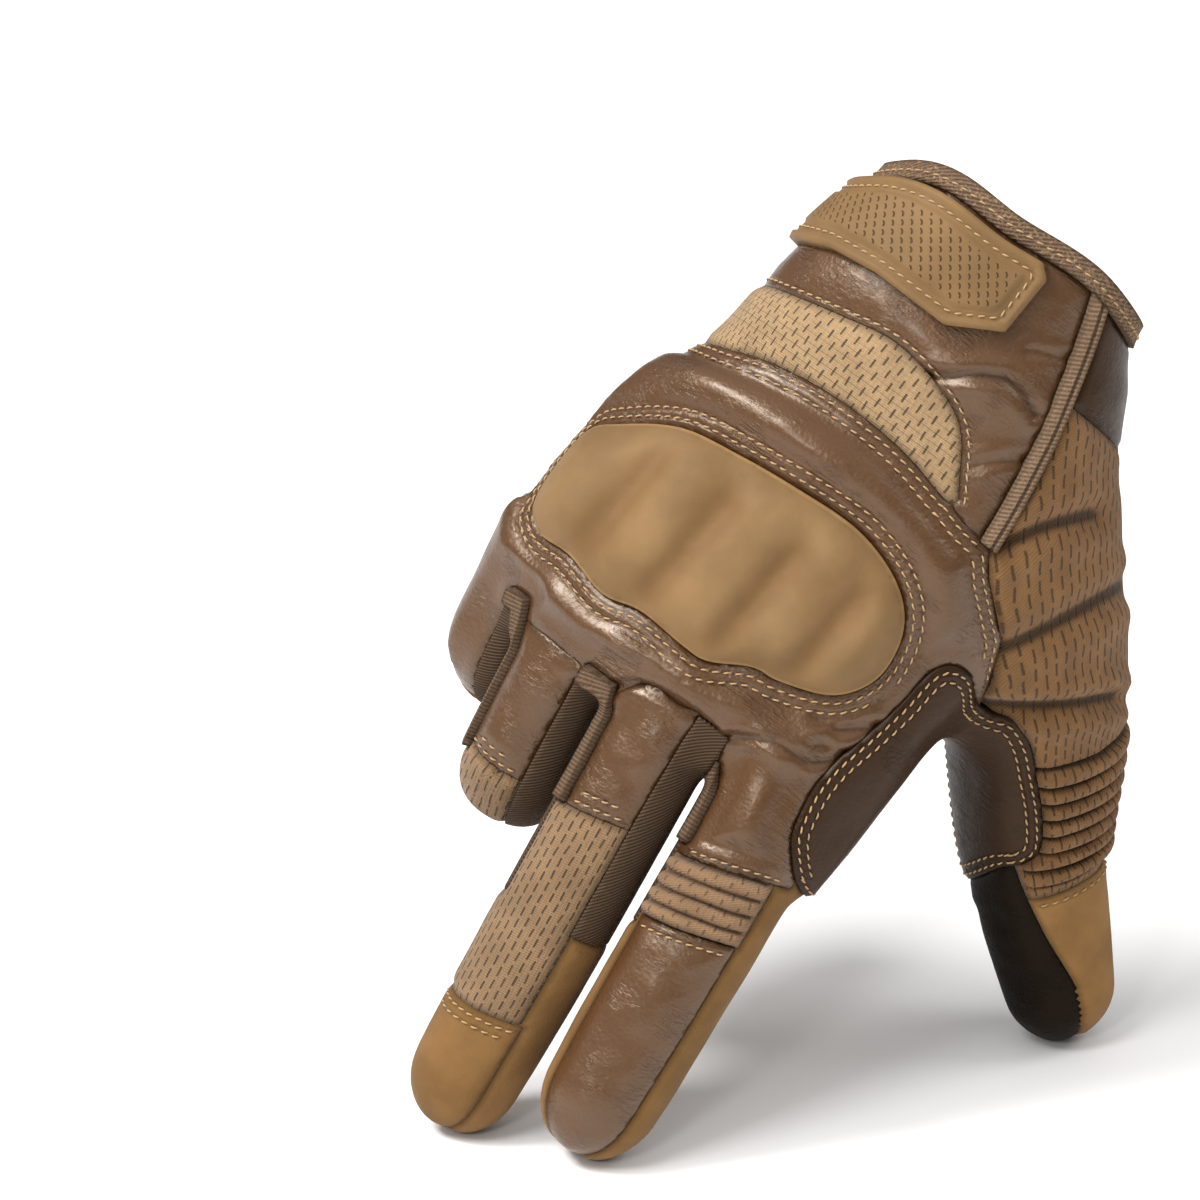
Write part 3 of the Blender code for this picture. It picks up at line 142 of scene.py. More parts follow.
# How near the value of a seam's function counts as on it, for free points and for those already on a seam
ON_SEAM = 0.01
ON_TWO_SEAMS = 0.12

# A distance for what lies far from all seams
FAR_OFF = 60.0

# How the glove leans in its row: tilt in the picture plane, and the lean of the view
TILT = math.radians(36)
LEAN = math.radians(24)

# The centre of the wrist opening, the row's origin, as shares of the hand's breadth, length and depth
OPENING = (0.012, -0.036, 0.0)

# Sections of the hand: along as a share of HAND_LENGTH, half widths and half depths as shares of the cuff's
# and the hand's, centre across as a share of HAND_BREADTH, centre deep and arch as shares of HAND_DEPTH
BODY = [
    # along, cuff half w, hand half w, cuff half d, hand half d, across, deep, arch
    (-0.130, 0.500, 0.000, 0.500, 0.00, 0.012, 0.00, 0.00),
    (0.000, 0.500, 0.000, 0.500, 0.00, 0.012, 0.00, 0.00),
    (0.145, 0.330, 0.144, 0.350, 0.19, 0.006, 0.00, 0.03),
    (0.300, 0.110, 0.318, 0.130, 0.45, 0.001, 0.00, 0.12),
    (0.420, 0.020, 0.405, 0.040, 0.54, 0.000, 0.01, 0.20),
    (0.510, 0.000, 0.470, 0.000, 0.55, -0.010, 0.01, 0.24),
    (0.655, 0.000, 0.505, 0.000, 0.50, -0.014, 0.02, 0.31),
    (0.780, 0.000, 0.508, 0.000, 0.45, -0.020, 0.03, 0.38),
    (0.870, 0.000, 0.490, 0.000, 0.40, -0.022, 0.04, 0.43),
    (0.940, 0.000, 0.455, 0.000, 0.34, -0.018, 0.06, 0.46),
    (0.995, 0.000, 0.395, 0.000, 0.25, -0.010, 0.08, 0.46),
]

# Fingers: root as shares of the hand's breadth, length and depth, then angles in degrees
FINGERS = {
    # across, along, deep, splay, pitch, roll
    "index": (0.283, 0.824, 0.06, 6.0, 2.0, 0.0),
    "middle": (-0.011, 0.849, 0.05, 6.8, 7.0, 0.0),
    "ring": (-0.268, 0.815, 0.15, 8.5, 20.0, 6.0),
    "little": (-0.425, 0.800, 0.45, 9.0, 29.0, 30.0),
}

# Bends: share of the finger's length, degrees, and the spread as a share of the length
BENDS = {
    "index": [(0.38, 4, 0.14), (0.64, 3, 0.10)],
    "middle": [(0.38, 5, 0.13), (0.65, 5, 0.10)],
    "ring": [(0.545, 104, 0.21), (0.79, 52, 0.14)],
    "little": [(0.475, 104, 0.23), (0.74, 52, 0.16)],
}

# Finger sections: share of the length, half width and half depth as shares of the breadth
FINGER_SECTIONS = [
    (0.00, 0.490, 0.465),
    (0.30, 0.500, 0.475),
    (0.62, 0.490, 0.460),
    (0.85, 0.470, 0.425),
    (1.00, 0.440, 0.390),
]

# Thumb sections: root as shares of the hand, offsets as shares of THUMB_LENGTH, widths of THUMB_BREADTH
THUMB_ROOT = (0.240, 0.170, 0.12)
THUMB_SECTIONS = [
    # across, along, deep, half width, half depth
    (0.000, 0.000, 0.000, 0.380, 0.380),
    (0.108, 0.154, 0.040, 0.473, 0.460),
    (0.215, 0.277, 0.108, 0.500, 0.473),
    (0.308, 0.392, 0.200, 0.473, 0.446),
    (0.412, 0.531, 0.300, 0.398, 0.390),
    (0.506, 0.622, 0.362, 0.345, 0.335),
    (0.612, 0.716, 0.415, 0.295, 0.280),
    (0.664, 0.762, 0.440, 0.255, 0.230),
]
THUMB_BACK = (0.62, -0.20, -0.75)

# The web beside the index finger's root: across, along and deep as shares of the hand, radius of HAND_BREADTH
WEB = [
    (0.400, 0.640, 0.38, 0.060),
    (0.425, 0.760, 0.30, 0.072),
    (0.428, 0.870, 0.22, 0.072),
    (0.432, 0.970, 0.16, 0.066),
    (0.436, 1.060, 0.14, 0.048),
]

# Seams in the picture plane: across as shares of HAND_BREADTH, along as shares of HAND_LENGTH
RIM = [
    (-0.50, 0.030), (-0.34, 0.010), (-0.26, -0.034), (0.00, -0.052), (0.20, -0.060), (0.34, -0.036),
]
FLAP_LINE = [
    (0.212, -0.060), (0.224, -0.030), (0.248, 0.024), (0.307, 0.199), (0.343, 0.366), (0.350, 0.450),
]
FLAP_END = 0.420
INNER_CUFF_END = 0.150
UNDERSIDE_END = 0.300
FINGER_FRONT = 0.260
STRAP_PAD = [
    (-0.70, -0.100), (-0.300, -0.110), (-0.020, -0.080), (0.037, -0.040), (0.106, 0.009), (0.099, 0.118),
    (-0.012, 0.166), (-0.188, 0.162), (-0.293, 0.171), (-0.382, 0.198), (-0.70, 0.240),
]
WINDOW_TOP = [
    (-0.70, 0.310), (-0.387, 0.279), (-0.224, 0.256), (-0.079, 0.237), (0.044, 0.252), (0.146, 0.288),
    (0.211, 0.356), (0.232, 0.400),
]
WINDOW_LOW = [
    (0.232, 0.400), (0.081, 0.376), (-0.090, 0.368), (-0.266, 0.383), (-0.418, 0.415), (-0.70, 0.450),
]
CUFF_END = [
    (-0.70, 0.380), (-0.30, 0.330), (0.00, 0.310), (0.15, 0.340), (0.215, 0.392), (0.240, 0.402),
    (0.360, 0.420), (0.500, 0.440),
]
BACK_EDGE = [
    (0.232, 0.400), (0.350, 0.418), (0.393, 0.462), (0.498, 0.529), (0.540, 0.600), (0.560, 0.680),
]
GUARD = [
    (-0.450, 0.611), (-0.503, 0.660), (-0.507, 0.790), (-0.460, 0.836), (-0.377, 0.839), (-0.266, 0.858),
    (-0.176, 0.844), (-0.059, 0.850), (0.001, 0.847), (0.089, 0.811), (0.153, 0.804), (0.265, 0.771),
    (0.320, 0.712), (0.320, 0.645), (0.283, 0.589), (0.207, 0.546), (0.091, 0.523), (-0.058, 0.527),
    (-0.201, 0.538), (-0.338, 0.557),
]
WEB_PATCH = [
    (0.490, 1.070), (0.388, 1.014), (0.360, 0.950), (0.354, 0.882), (0.382, 0.789), (0.401, 0.716),
    (0.411, 0.650), (0.436, 0.616), (0.488, 0.608), (0.537, 0.637), (0.582, 0.639), (0.635, 0.625),
    (0.695, 0.642), (0.751, 0.678), (0.813, 0.722), (0.859, 0.770), (0.852, 0.807), (0.815, 0.838),
    (0.760, 0.900), (0.640, 0.880), (0.560, 0.840), (0.560, 0.960),
]
RING_CREASE = [
    (-0.600, 0.970), (-0.326, 0.974), (-0.271, 0.976), (-0.179, 0.986), (-0.130, 1.010), (0.00, 1.04),
]
MIDDLE_CREASE = [
    (-0.300, 1.060), (-0.133, 0.995), (-0.085, 0.946), (0.013, 0.934), (0.110, 0.916), (0.300, 0.960),
]

# Slits between the fingers: the two fingers, then the slit's top along as a share of HAND_LENGTH
SLITS = {
    "little_ring": ("little", "ring", 0.966),
    "ring_middle": ("ring", "middle", 0.996),
    "middle_index": ("middle", "index", 0.930),
}

# Seams round the fingers: shares of the finger's length, slant, and the reach of the piping and of the twill
FINGER_SEAMS = {
    # leather ends, knit ends, slant, piping ends, twill ends
    "index": (0.335, 0.475, -0.20, 0.335, 0.520),
    "middle": (0.330, 0.735, -0.13, 0.330, 0.540),
    "ring": (0.480, 0.740, 0.00, 0.500, 0.640),
    "little": (0.500, 0.760, 0.00, 0.420, 0.640),
}

# Angles round a finger in degrees from its back, towards the little finger and towards the thumb
BACK_ANGLES = {"index": (-55, 41), "middle": (-54, 22), "ring": (-66, 17), "little": (-118, 8)}
KNIT_ANGLES = {"index": (-70, 42), "middle": (-100, 24), "ring": (-100, 20), "little": (-118, 20)}
TIP_ANGLES = {"index": (-66, 40), "middle": (-100, 28), "ring": (-80, 60), "little": (-80, 60)}
TWILL_END = 128

# Thumb seams: share of the thumb's reach, then the angles of the dark side's two edges
THUMB_STITCH = 0.815
THUMB_PALM_EDGES = [
    # share, edge towards the index finger, edge towards the palm
    (0.00, -95, 112),
    (0.50, -80, 112),
    (0.70, -62, 112),
    (0.80, -52, 108),
    (0.90, -40, 100),
    (1.00, -20, 90),
]

# Soft swells of the back: across, along, half spans and rise, the rise as a share of HAND_DEPTH
SWELLS = [
    (-0.10, 0.470, 0.42, 0.065, 0.075),
    (0.28, 0.520, 0.14, 0.100, 0.075),
    (0.02, 0.895, 0.36, 0.038, 0.070),
    (0.05, 0.215, 0.26, 0.060, 0.055),
    (-0.21, 1.040, 0.10, 0.060, 0.050),
    (0.02, 1.020, 0.10, 0.075, 0.045),
    (0.27, 1.000, 0.11, 0.080, 0.040),
]

# Knuckle ridges of the guard: valleys across as shares of HAND_BREADTH, and the height of its edge
GUARD_VALLEYS = (-0.335, -0.165, 0.010, 0.175)
GUARD_EDGE = 0.8

# Walls of the materials that don't have the knit's, and how far trims stand off the skin, in millimetres
WALLS = {"leather": LEATHER_WALL, "dark_leather": LEATHER_WALL, "suede": SUEDE_WALL, "guard": GUARD_WALL}
STANDS_OFF = {
    "cuff_binding": RIM_RISE,
    "flap_binding": FLAP_RISE,
    "little_ring_piping": PIPING_RISE,
    "ring_middle_piping": PIPING_RISE,
    "middle_index_piping": PIPING_RISE,
    "web_patch": 0.5,
}
RIBBED = ("thumb_knit", "index_ribs")


def smoothstep(t):
    """From 0 to 1, with no slope at either end."""
    t = np.clip(t, 0, 1)
    return t * t * (3 - 2 * t)


def unit(vectors, floor=1e-9):
    """The vectors one long, where they are longer than the floor."""
    return vectors / np.maximum(np.linalg.norm(vectors, axis=-1), floor)[..., None]


def face_crosses(points, faces):
    """The normal of each triangle, twice its area long."""
    corners = points[faces]
    return np.cross(corners[:, 1] - corners[:, 0], corners[:, 2] - corners[:, 0])


def curve_through(places, values, at):
    """A smooth curve through the rows of a table, read at the given places."""
    places = np.asarray(places, float)
    values = np.asarray(values, float)
    slopes = np.gradient(values, places)
    i = np.clip(np.searchsorted(places, at) - 1, 0, len(places) - 2)
    span = places[i + 1] - places[i]
    t = np.clip((at - places[i]) / span, 0, 1)
    start = (2 * t**3 - 3 * t**2 + 1) * values[i] + (t**3 - 2 * t**2 + t) * span * slopes[i]
    return start + (3 * t**2 - 2 * t**3) * values[i + 1] + (t**3 - t**2) * span * slopes[i + 1]


def to_row(points):
    """Hand coordinates in millimetres to the row's metres."""
    points = points - np.array(OPENING) * (HAND_BREADTH, HAND_LENGTH, HAND_DEPTH)
    x, y, z = points[..., 0], points[..., 1], points[..., 2]
    right = x * math.cos(TILT) - y * math.sin(TILT)
    up = -x * math.sin(TILT) - y * math.cos(TILT)
    back = z * math.cos(LEAN) + up * math.sin(LEAN)
    height = up * math.cos(LEAN) - z * math.sin(LEAN)
    return np.stack([right, back, height], -1) / 1000


def tube(centre, across, deep, half_w, half_d, power=2.3, sides=96, arch=None):
    """A closed loft through rounded sections."""
    angle = np.linspace(0, 2 * math.pi, sides, endpoint=False)
    cx = np.sign(np.cos(angle)) * np.abs(np.cos(angle)) ** (2 / power)
    sx = np.sign(np.sin(angle)) * np.abs(np.sin(angle)) ** (2 / power)
    x = half_w[:, None] * cx
    z = half_d[:, None] * sx
    if arch is not None:
        z = z + arch[:, None] * np.clip(-cx, 0, 1) ** 1.7
    rings = centre[:, None] + x[..., None] * across[:, None] + z[..., None] * deep[:, None]
    count = len(centre)
    verts = np.concatenate([rings.reshape(-1, 3), rings[0].mean(0)[None], rings[-1].mean(0)[None]])
    j = np.arange(sides)
    k = (np.arange(count - 1) * sides)[:, None]
    nxt = (j + 1) % sides
    quads = np.stack([k + j, k + nxt, k + nxt + sides, k + j + sides], -1).reshape(-1, 4)
    first = np.stack([np.full(sides, count * sides), nxt, j], -1)
    end = (count - 1) * sides
    last = np.stack([np.full(sides, count * sides + 1), end + j, end + nxt], -1)
    return verts, quads, np.concatenate([first, last])


class Limb:
    """A finger or the thumb: a centre line with frames and half widths, about one sample a millimetre."""

    def __init__(self, centre, across, deep, reach, half_w, half_d, tip):
        length = reach[-1]
        q = np.clip((reach - (length - tip)) / tip, 0, 1)
        cap = np.sqrt(np.clip(1 - q**2.4, 0.0004, 1))
        self.centre = centre
        self.across = across
        self.deep = deep
        self.reach = reach
        self.length = length
        self.half_w = half_w * cap
        self.half_d = half_d * cap
        self.tangent = unit(np.gradient(centre, axis=0))

    def mesh(self):
        return tube(self.centre, self.across, self.deep, self.half_w, self.half_d)

    def locate(self, points):
        """Reach along the limb, angle from its back and half width, for each point."""
        near = np.empty(len(points), int)
        for start in range(0, len(points), 20000):
            part = points[start : start + 20000]
            near[start : start + 20000] = np.argmin(
                ((part[:, None] - self.centre[None]) ** 2).sum(-1), axis=1
            )
        away = points - self.centre[near]
        reach = self.reach[near] + (away * self.tangent[near]).sum(-1)
        side = (away * self.across[near]).sum(-1)
        down = (away * self.deep[near]).sum(-1)
        return reach, np.degrees(np.arctan2(side, -down)), self.half_w[near]


def finger(name, length, breadth):
    across, along, deep, splay, pitch, roll = FINGERS[name]
    splay, pitch, roll = math.radians(splay), math.radians(pitch), math.radians(roll)
    start = np.array([across * HAND_BREADTH, along * HAND_LENGTH, deep * HAND_DEPTH])
    flat = math.cos(pitch)
    heading = np.array([math.sin(splay) * flat, math.cos(splay) * flat, math.sin(pitch)])
    side = np.array([math.cos(splay) * math.cos(roll), -math.sin(splay) * math.cos(roll), -math.sin(roll)])
    side -= (side @ heading) * heading
    side /= np.linalg.norm(side)
    down = np.cross(side, heading)
    count = int(length) + 1
    reach = np.linspace(0, length, count)
    bend = np.zeros(count)
    for at, angle, spread in BENDS[name]:
        bend += math.radians(angle) * smoothstep((reach / length - at) / spread + 0.5)
    ahead = np.cos(bend)[:, None] * heading + np.sin(bend)[:, None] * down
    below = np.cos(bend)[:, None] * down - np.sin(bend)[:, None] * heading
    steps = (ahead[1:] + ahead[:-1]) / 2 * np.diff(reach)[:, None]
    centre = start + np.concatenate([np.zeros((1, 3)), np.cumsum(steps, axis=0)])
    rows = np.array(FINGER_SECTIONS)
    half_w = breadth * curve_through(rows[:, 0], rows[:, 1], reach / length)
    half_d = breadth * curve_through(rows[:, 0], rows[:, 2], reach / length)
    return Limb(centre, np.repeat(side[None], count, 0), below, reach, half_w, half_d, breadth * FINGER_CAP)


def thumb():
    rows = np.array(THUMB_SECTIONS)
    root = np.array(THUMB_ROOT) * (HAND_BREADTH, HAND_LENGTH, HAND_DEPTH)
    places = np.arange(len(rows))
    fine = np.linspace(0, len(rows) - 1, 400)
    line = np.stack([curve_through(places, rows[:, k], fine) for k in range(3)], 1) * THUMB_LENGTH
    run = np.concatenate([[0], np.cumsum(np.linalg.norm(np.diff(line, axis=0), axis=1))])
    reach = np.linspace(0, run[-1], int(run[-1]) + 1)
    at = np.interp(reach, run, fine)
    centre = root + np.stack([curve_through(places, rows[:, k], at) for k in range(3)], 1) * THUMB_LENGTH
    half_w, half_d = (THUMB_BREADTH * curve_through(places, rows[:, k], at) for k in (3, 4))
    tangent = unit(np.gradient(centre, axis=0))
    back = np.array(THUMB_BACK)
    down = unit((tangent @ back)[:, None] * tangent - back)
    return Limb(centre, np.cross(tangent, down), down, reach, half_w, half_d, THUMB_BREADTH * THUMB_CAP)


def body_columns(along):
    """Half width, half depth, centre across, centre deep and arch of the hand at places along it."""
    rows = np.array(BODY)
    read = [curve_through(rows[:, 0], rows[:, k], along / HAND_LENGTH) for k in range(1, 8)]
    half_w = read[0] * CUFF_BREADTH + read[1] * HAND_BREADTH
    half_d = read[2] * CUFF_DEPTH + read[3] * HAND_DEPTH
    return half_w, half_d, read[4] * HAND_BREADTH, read[5] * HAND_DEPTH, read[6] * HAND_DEPTH


def body_at(y):
    """The hand's columns at places given in millimetres, held within its ends."""
    return body_columns(np.clip(y, BODY[0][0] * HAND_LENGTH, BODY[-1][0] * HAND_LENGTH))


def body_mesh():
    along = np.linspace(BODY[0][0], BODY[-1][0], 140) * HAND_LENGTH
    half_w, half_d, across, deep, arch = body_columns(along)
    centre = np.stack([across, along, deep], 1)
    right = np.repeat([[1.0, 0.0, 0.0]], len(along), 0)
    down = np.repeat([[0.0, 0.0, 1.0]], len(along), 0)
    return tube(centre, right, down, half_w, half_d, power=2.5, sides=160, arch=arch)


def web_mesh():
    rows = np.array(WEB)
    places = np.arange(len(rows))
    at = np.linspace(0, len(rows) - 1, 40)
    across, along, deep, radius = (curve_through(places, rows[:, k], at) for k in range(4))
    centre = np.stack([across * HAND_BREADTH, along * HAND_LENGTH, deep * HAND_DEPTH], 1)
    right = np.repeat([[1.0, 0.0, 0.0]], len(at), 0)
    down = np.repeat([[0.0, 0.0, 1.0]], len(at), 0)
    return tube(centre, right, down, radius * HAND_BREADTH, radius * HAND_BREADTH)


def smooth_union(a, b, blend):
    share = np.clip(blend - np.abs(a - b), 0, None) / blend
    return np.minimum(a, b) - share * share * blend / 4


def union_slope(a, b, slope_a, slope_b, blend):
    """The value and the slope of a smooth union, from those of its two fields."""
    share = np.clip(blend - np.abs(a - b), 0, None) / blend
    weight = np.where(a < b, 1 - share / 2, share / 2)[:, None]
    return smooth_union(a, b, blend), slope_a * weight + slope_b * (1 - weight)


class Skin:
    """The outer skin as a field of distances on a grid, with the limbs that it was made from."""

    def __init__(self, voxel):
        self.voxel = voxel
        self.limbs = {name: finger(name, *LIMBS[name]) for name in FINGERS}
        self.limbs["thumb"] = thumb()
        meshes = {name: limb.mesh() for name, limb in self.limbs.items()}
        meshes["body"] = body_mesh()
        meshes["web"] = web_mesh()
        ends = np.concatenate([mesh[0] for mesh in meshes.values()])
        self.low = np.floor((ends.min(0) - GRID_MARGIN) / voxel).astype(int)
        self.shape = tuple(np.ceil((ends.max(0) + GRID_MARGIN) / voxel).astype(int) - self.low)
        self.fields = {name: self.distances(mesh) for name, mesh in meshes.items()}
        apart = []
        for name in FINGERS:
            others = np.minimum.reduce([self.fields[other] for other in FINGERS if other != name])
            kept = (self.fields[name] - others) / 2 + FINGER_SPACE / 2
            apart.append(np.maximum(self.fields[name], kept))
        whole = smooth_union(self.fields["body"], np.minimum.reduce(apart), FINGER_BLEND)
        whole = smooth_union(whole, self.fields["web"], WEB_BLEND)
        self.field = smooth_union(whole, self.fields["thumb"], THUMB_BLEND)

    def distances(self, mesh):
        verts, quads, tris = mesh
        grid = openvdb.FloatGrid.createLevelSetFromPolygons(
            np.ascontiguousarray(verts, np.float32),
            triangles=np.ascontiguousarray(tris, np.uint32),
            quads=np.ascontiguousarray(quads, np.uint32),
            transform=openvdb.createLinearTransform(self.voxel),
            halfWidth=GRID_REACH / self.voxel,
        )
        out = np.empty(self.shape, np.float32)
        grid.copyToArray(out, ijk=tuple(int(k) for k in self.low))
        return out

    def sample(self, values, points):
        at = points / self.voxel - self.low
        base = np.clip(np.floor(at).astype(int), 0, np.array(self.shape) - 2)
        f = at - base
        out = np.zeros(len(points))
        for corner in range(8):
            step = np.array([corner & 1, corner >> 1 & 1, corner >> 2 & 1])
            share = np.prod(np.where(step, f, 1 - f), axis=1)
            i = base + step
            out += share * values[i[:, 0], i[:, 1], i[:, 2]]
        return out

    def slope(self, name, points):
        found = []
        for step in np.eye(3) * SLOPE_STEP:
            field = self.fields[name]
            found.append(self.sample(field, points + step) - self.sample(field, points - step))
        return np.stack(found, 1) / (2 * SLOPE_STEP)

    def normals(self, points, off):
        """Directions out of the skin, where each finger counts only its own side of a slit."""
        fingers = np.stack([off[name] for name in FINGERS])
        nearest = fingers.argmin(0)
        slopes = np.zeros((len(points), 3))
        for place, name in enumerate(FINGERS):
            mine = nearest == place
            slopes[mine] = self.slope(name, points[mine])
        value, slope = off["body"], self.slope("body", points)
        value, slope = union_slope(value, fingers.min(0), slope, slopes, FINGER_BLEND)
        value, slope = union_slope(value, off["web"], slope, self.slope("web", points), WEB_BLEND)
        value, slope = union_slope(value, off["thumb"], slope, self.slope("thumb", points), THUMB_BLEND)
        return unit(slope, 1e-6)

    def mesh(self):
        grid = openvdb.FloatGrid(float(self.field.max()))
        grid.copyFromArray(self.field.astype(np.float32), ijk=tuple(int(k) for k in self.low))
        grid.transform = openvdb.createLinearTransform(self.voxel)
        grid.gridClass = openvdb.GridClass.LEVEL_SET
        points, tris, quads = grid.convertToPolygons(isovalue=0.0, adaptivity=0.0)
        quads = np.asarray(quads, int)
        tris = np.asarray(tris, int).reshape(-1, 3)
        faces = np.concatenate([tris, quads[:, [0, 1, 2]], quads[:, [0, 2, 3]]])
        return np.asarray(points, float), faces[:, ::-1]

    def spots(self, points):
        """All that the seams ask of a point, as one dictionary of columns."""
        off = {name: self.sample(field, points) for name, field in self.fields.items()}
        found = {"p": points, "n": self.normals(points, off)}
        for name, limb in self.limbs.items():
            reach, angle, half = limb.locate(points)
            found["reach_" + name] = reach
            found["angle_" + name] = angle
            found["half_" + name] = half
        for name, values in off.items():
            found["off_" + name] = values
        return found


def in_hand(table):
    return np.array(table, float) * (HAND_BREADTH, HAND_LENGTH)


def rounded(points, closed, parts=5):
    """A smooth line through the points of a table."""
    count = len(points)
    if closed:
        places = np.arange(-3, count + 3)
        laid = points[places % count]
        at = np.arange(count * parts) / parts
    else:
        places = np.arange(count)
        laid = points
        at = np.linspace(0, count - 1, (count - 1) * parts + 1)
    return np.stack([curve_through(places, laid[:, k], at) for k in range(2)], 1)


def from_line(line, closed, flat):
    """Distance of flat points from a line, positive inside a closed one."""
    ends = np.roll(line, -1, axis=0) if closed else line[1:]
    starts = line if closed else line[:-1]
    best = np.full(len(flat), 1e9)
    inside = np.zeros(len(flat), bool)
    for a, b in zip(starts, ends):
        along = b - a
        t = np.clip(((flat - a) @ along) / max(along @ along, 1e-9), 0, 1)
        best = np.minimum(best, np.hypot(*(flat - a - t[:, None] * along).T))
        if a[1] != b[1]:
            crosses = (a[1] > flat[:, 1]) != (b[1] > flat[:, 1])
            where = a[0] + (flat[:, 1] - a[1]) * (b[0] - a[0]) / (b[1] - a[1])
            inside ^= crosses & (flat[:, 0] < where)
    return np.where(inside, best, -best) if closed else best


def within(table, spot, closed=True):
    return from_line(rounded(in_hand(table), closed), True, spot["p"][:, :2])


def height_of(table, spot):
    """The along of an open seam at the point's across."""
    line = in_hand(table)
    return curve_through(line[:, 0], line[:, 1], spot["p"][:, 0])


def least(*values):
    return np.minimum.reduce(np.broadcast_arrays(*values))


def most(*values):
    return np.maximum.reduce(np.broadcast_arrays(*values))


def body_back(spot):
    """How far a point of the hand lies on the back's side of the line round the hand."""
    x, y, z = spot["p"].T
    half_w, half_d, across, deep, arch = body_at(y)
    middle = deep + arch * np.clip((across - x) / half_w, 0, 1) ** 1.7
    return middle + half_d * 0.25 - z


def between(spot, name, low, high):
    """How far a point lies inside a band of angles round a limb, in millimetres."""
    angle = spot["angle_" + name]
    half = spot["half_" + name]
    return np.radians(least(angle - low, high - angle)) * half


def own(spot, name):
    """How much nearer a point lies to this finger than to the others."""
    others = [spot["off_" + other] for other in FINGERS if other != name]
    return (np.minimum.reduce(others) - spot["off_" + name]) / 2


def slanted(spot, name):
    """Reach along a finger, slanted across it as its seams are."""
    slant = FINGER_SEAMS[name][2]
    side = np.sin(np.radians(spot["angle_" + name])) * spot["half_" + name]
    return spot["reach_" + name] - slant * side


def seam(name, column):
    return FINGER_SEAMS[name][column] * LIMBS[name][0]


def limb_share(spot, name, blend):
    """0 on the hand and 1 on the limb."""
    return smoothstep((spot["off_body"] - spot["off_" + name]) / blend + 0.5)


def back_side(spot):
    """The back's side of the line round the hand, carried on along the fingers and the thumb."""
    side = body_back(spot)
    for name in FINGERS:
        low, high = BACK_ANGLES[name]
        low = min(low, -80)
        high = max(high, 62)
        share = limb_share(spot, name, FINGER_TURN) * (own(spot, name) > 0)
        side = side * (1 - share) + share * between(spot, name, low, high)
    share = limb_share(spot, "thumb", THUMB_TURN)
    return side * (1 - share) + share * thumb_span(spot)


def cuff_binding(spot):
    return height_of(RIM, spot) + RIM_BINDING - spot["p"][:, 1]


def flap_side(spot):
    """Distance to the thumb's side of the flap's edge."""
    line = in_hand(FLAP_LINE)
    return spot["p"][:, 0] - curve_through(line[:, 1], line[:, 0], spot["p"][:, 1])


def flap_binding(spot):
    near = FLAP_BINDING / 2 - np.abs(flap_side(spot))
    return least(near, FLAP_END * HAND_LENGTH - spot["p"][:, 1], -6 * spot["n"][:, 2])


def inner_cuff(spot):
    low = INNER_CUFF_END * HAND_LENGTH - spot["p"][:, 1]
    return least(flap_side(spot), low, body_back(spot))


def cuff_leather(spot):
    return least(height_of(CUFF_END, spot) - spot["p"][:, 1], -flap_side(spot), body_back(spot))


def wrist_knit(spot):
    return least(within(WINDOW_TOP + WINDOW_LOW[1:], spot), body_back(spot))


def knuckle_guard(spot):
    return least(within(GUARD, spot), -6 * spot["n"][:, 2] + 1)


def web_patch(spot):
    return least(within(WEB_PATCH, spot), 9 * (0.30 - spot["n"][:, 2]))


def thumb_span(spot):
    """How far a point lies on the back's side of the thumb, between the edges of its dark side."""
    edges = np.array(THUMB_PALM_EDGES)
    reach = spot["reach_thumb"] / THUMB_LENGTH
    low, high = (curve_through(edges[:, 0], edges[:, k], reach) for k in (1, 2))
    return between(spot, "thumb", low, high)


def thumb_tip(spot):
    return least(spot["reach_thumb"] - THUMB_STITCH * THUMB_LENGTH, thumb_span(spot), -spot["off_thumb"] + 3)


def thumb_palm(spot):
    low = spot["reach_thumb"] - 0.50 * THUMB_LENGTH
    return least(low, -thumb_span(spot), -spot["off_thumb"] + 3)


def thumb_knit(spot):
    line = [(-0.70, 0.418), (0.20, 0.418)] + BACK_EDGE[1:] + [(0.60, 0.90), (0.60, 1.60), (-0.70, 1.60)]
    back = from_line(in_hand(line), True, spot["p"][:, :2])
    low = THUMB_STITCH * THUMB_LENGTH - spot["reach_thumb"]
    return least(-back, flap_side(spot), back_side(spot), low)


def finger_back(spot, name, crease):
    low, high = BACK_ANGLES[name]
    return least(
        own(spot, name),
        spot["p"][:, 1] - height_of(crease, spot),
        between(spot, name, low, high),
        seam(name, 0) - slanted(spot, name),
        3 - spot["off_" + name],
    )


def finger_knit(spot, name):
    low, high = KNIT_ANGLES[name]
    reach = slanted(spot, name)
    ends = least(reach - seam(name, 0), seam(name, 1) - reach)
    return least(own(spot, name), ends, between(spot, name, low, high))


def finger_tip(spot, name):
    low, high = TIP_ANGLES[name]
    return least(own(spot, name), slanted(spot, name) - seam(name, 1), between(spot, name, low, high))


def slit_sides(spot, slit):
    """The facing sides of two fingers, down to where the twill ends."""
    first, second, _ = SLITS[slit]
    right = between(spot, first, BACK_ANGLES[first][1], TWILL_END)
    left = between(spot, second, -TWILL_END, BACK_ANGLES[second][0] - piping_turn(second))
    one = least(own(spot, first), right, seam(first, 4) - spot["reach_" + first])
    two = least(own(spot, second), left, seam(second, 4) - spot["reach_" + second])
    return one, two


def piping_turn(name):
    """The angle that the piping takes up round its finger."""
    return math.degrees(2 * PIPING / LIMBS[name][1])


def fourchette(spot, slit):
    top = SLITS[slit][2] * HAND_LENGTH
    one, two = slit_sides(spot, slit)
    return least(most(one, two), spot["p"][:, 1] - top)


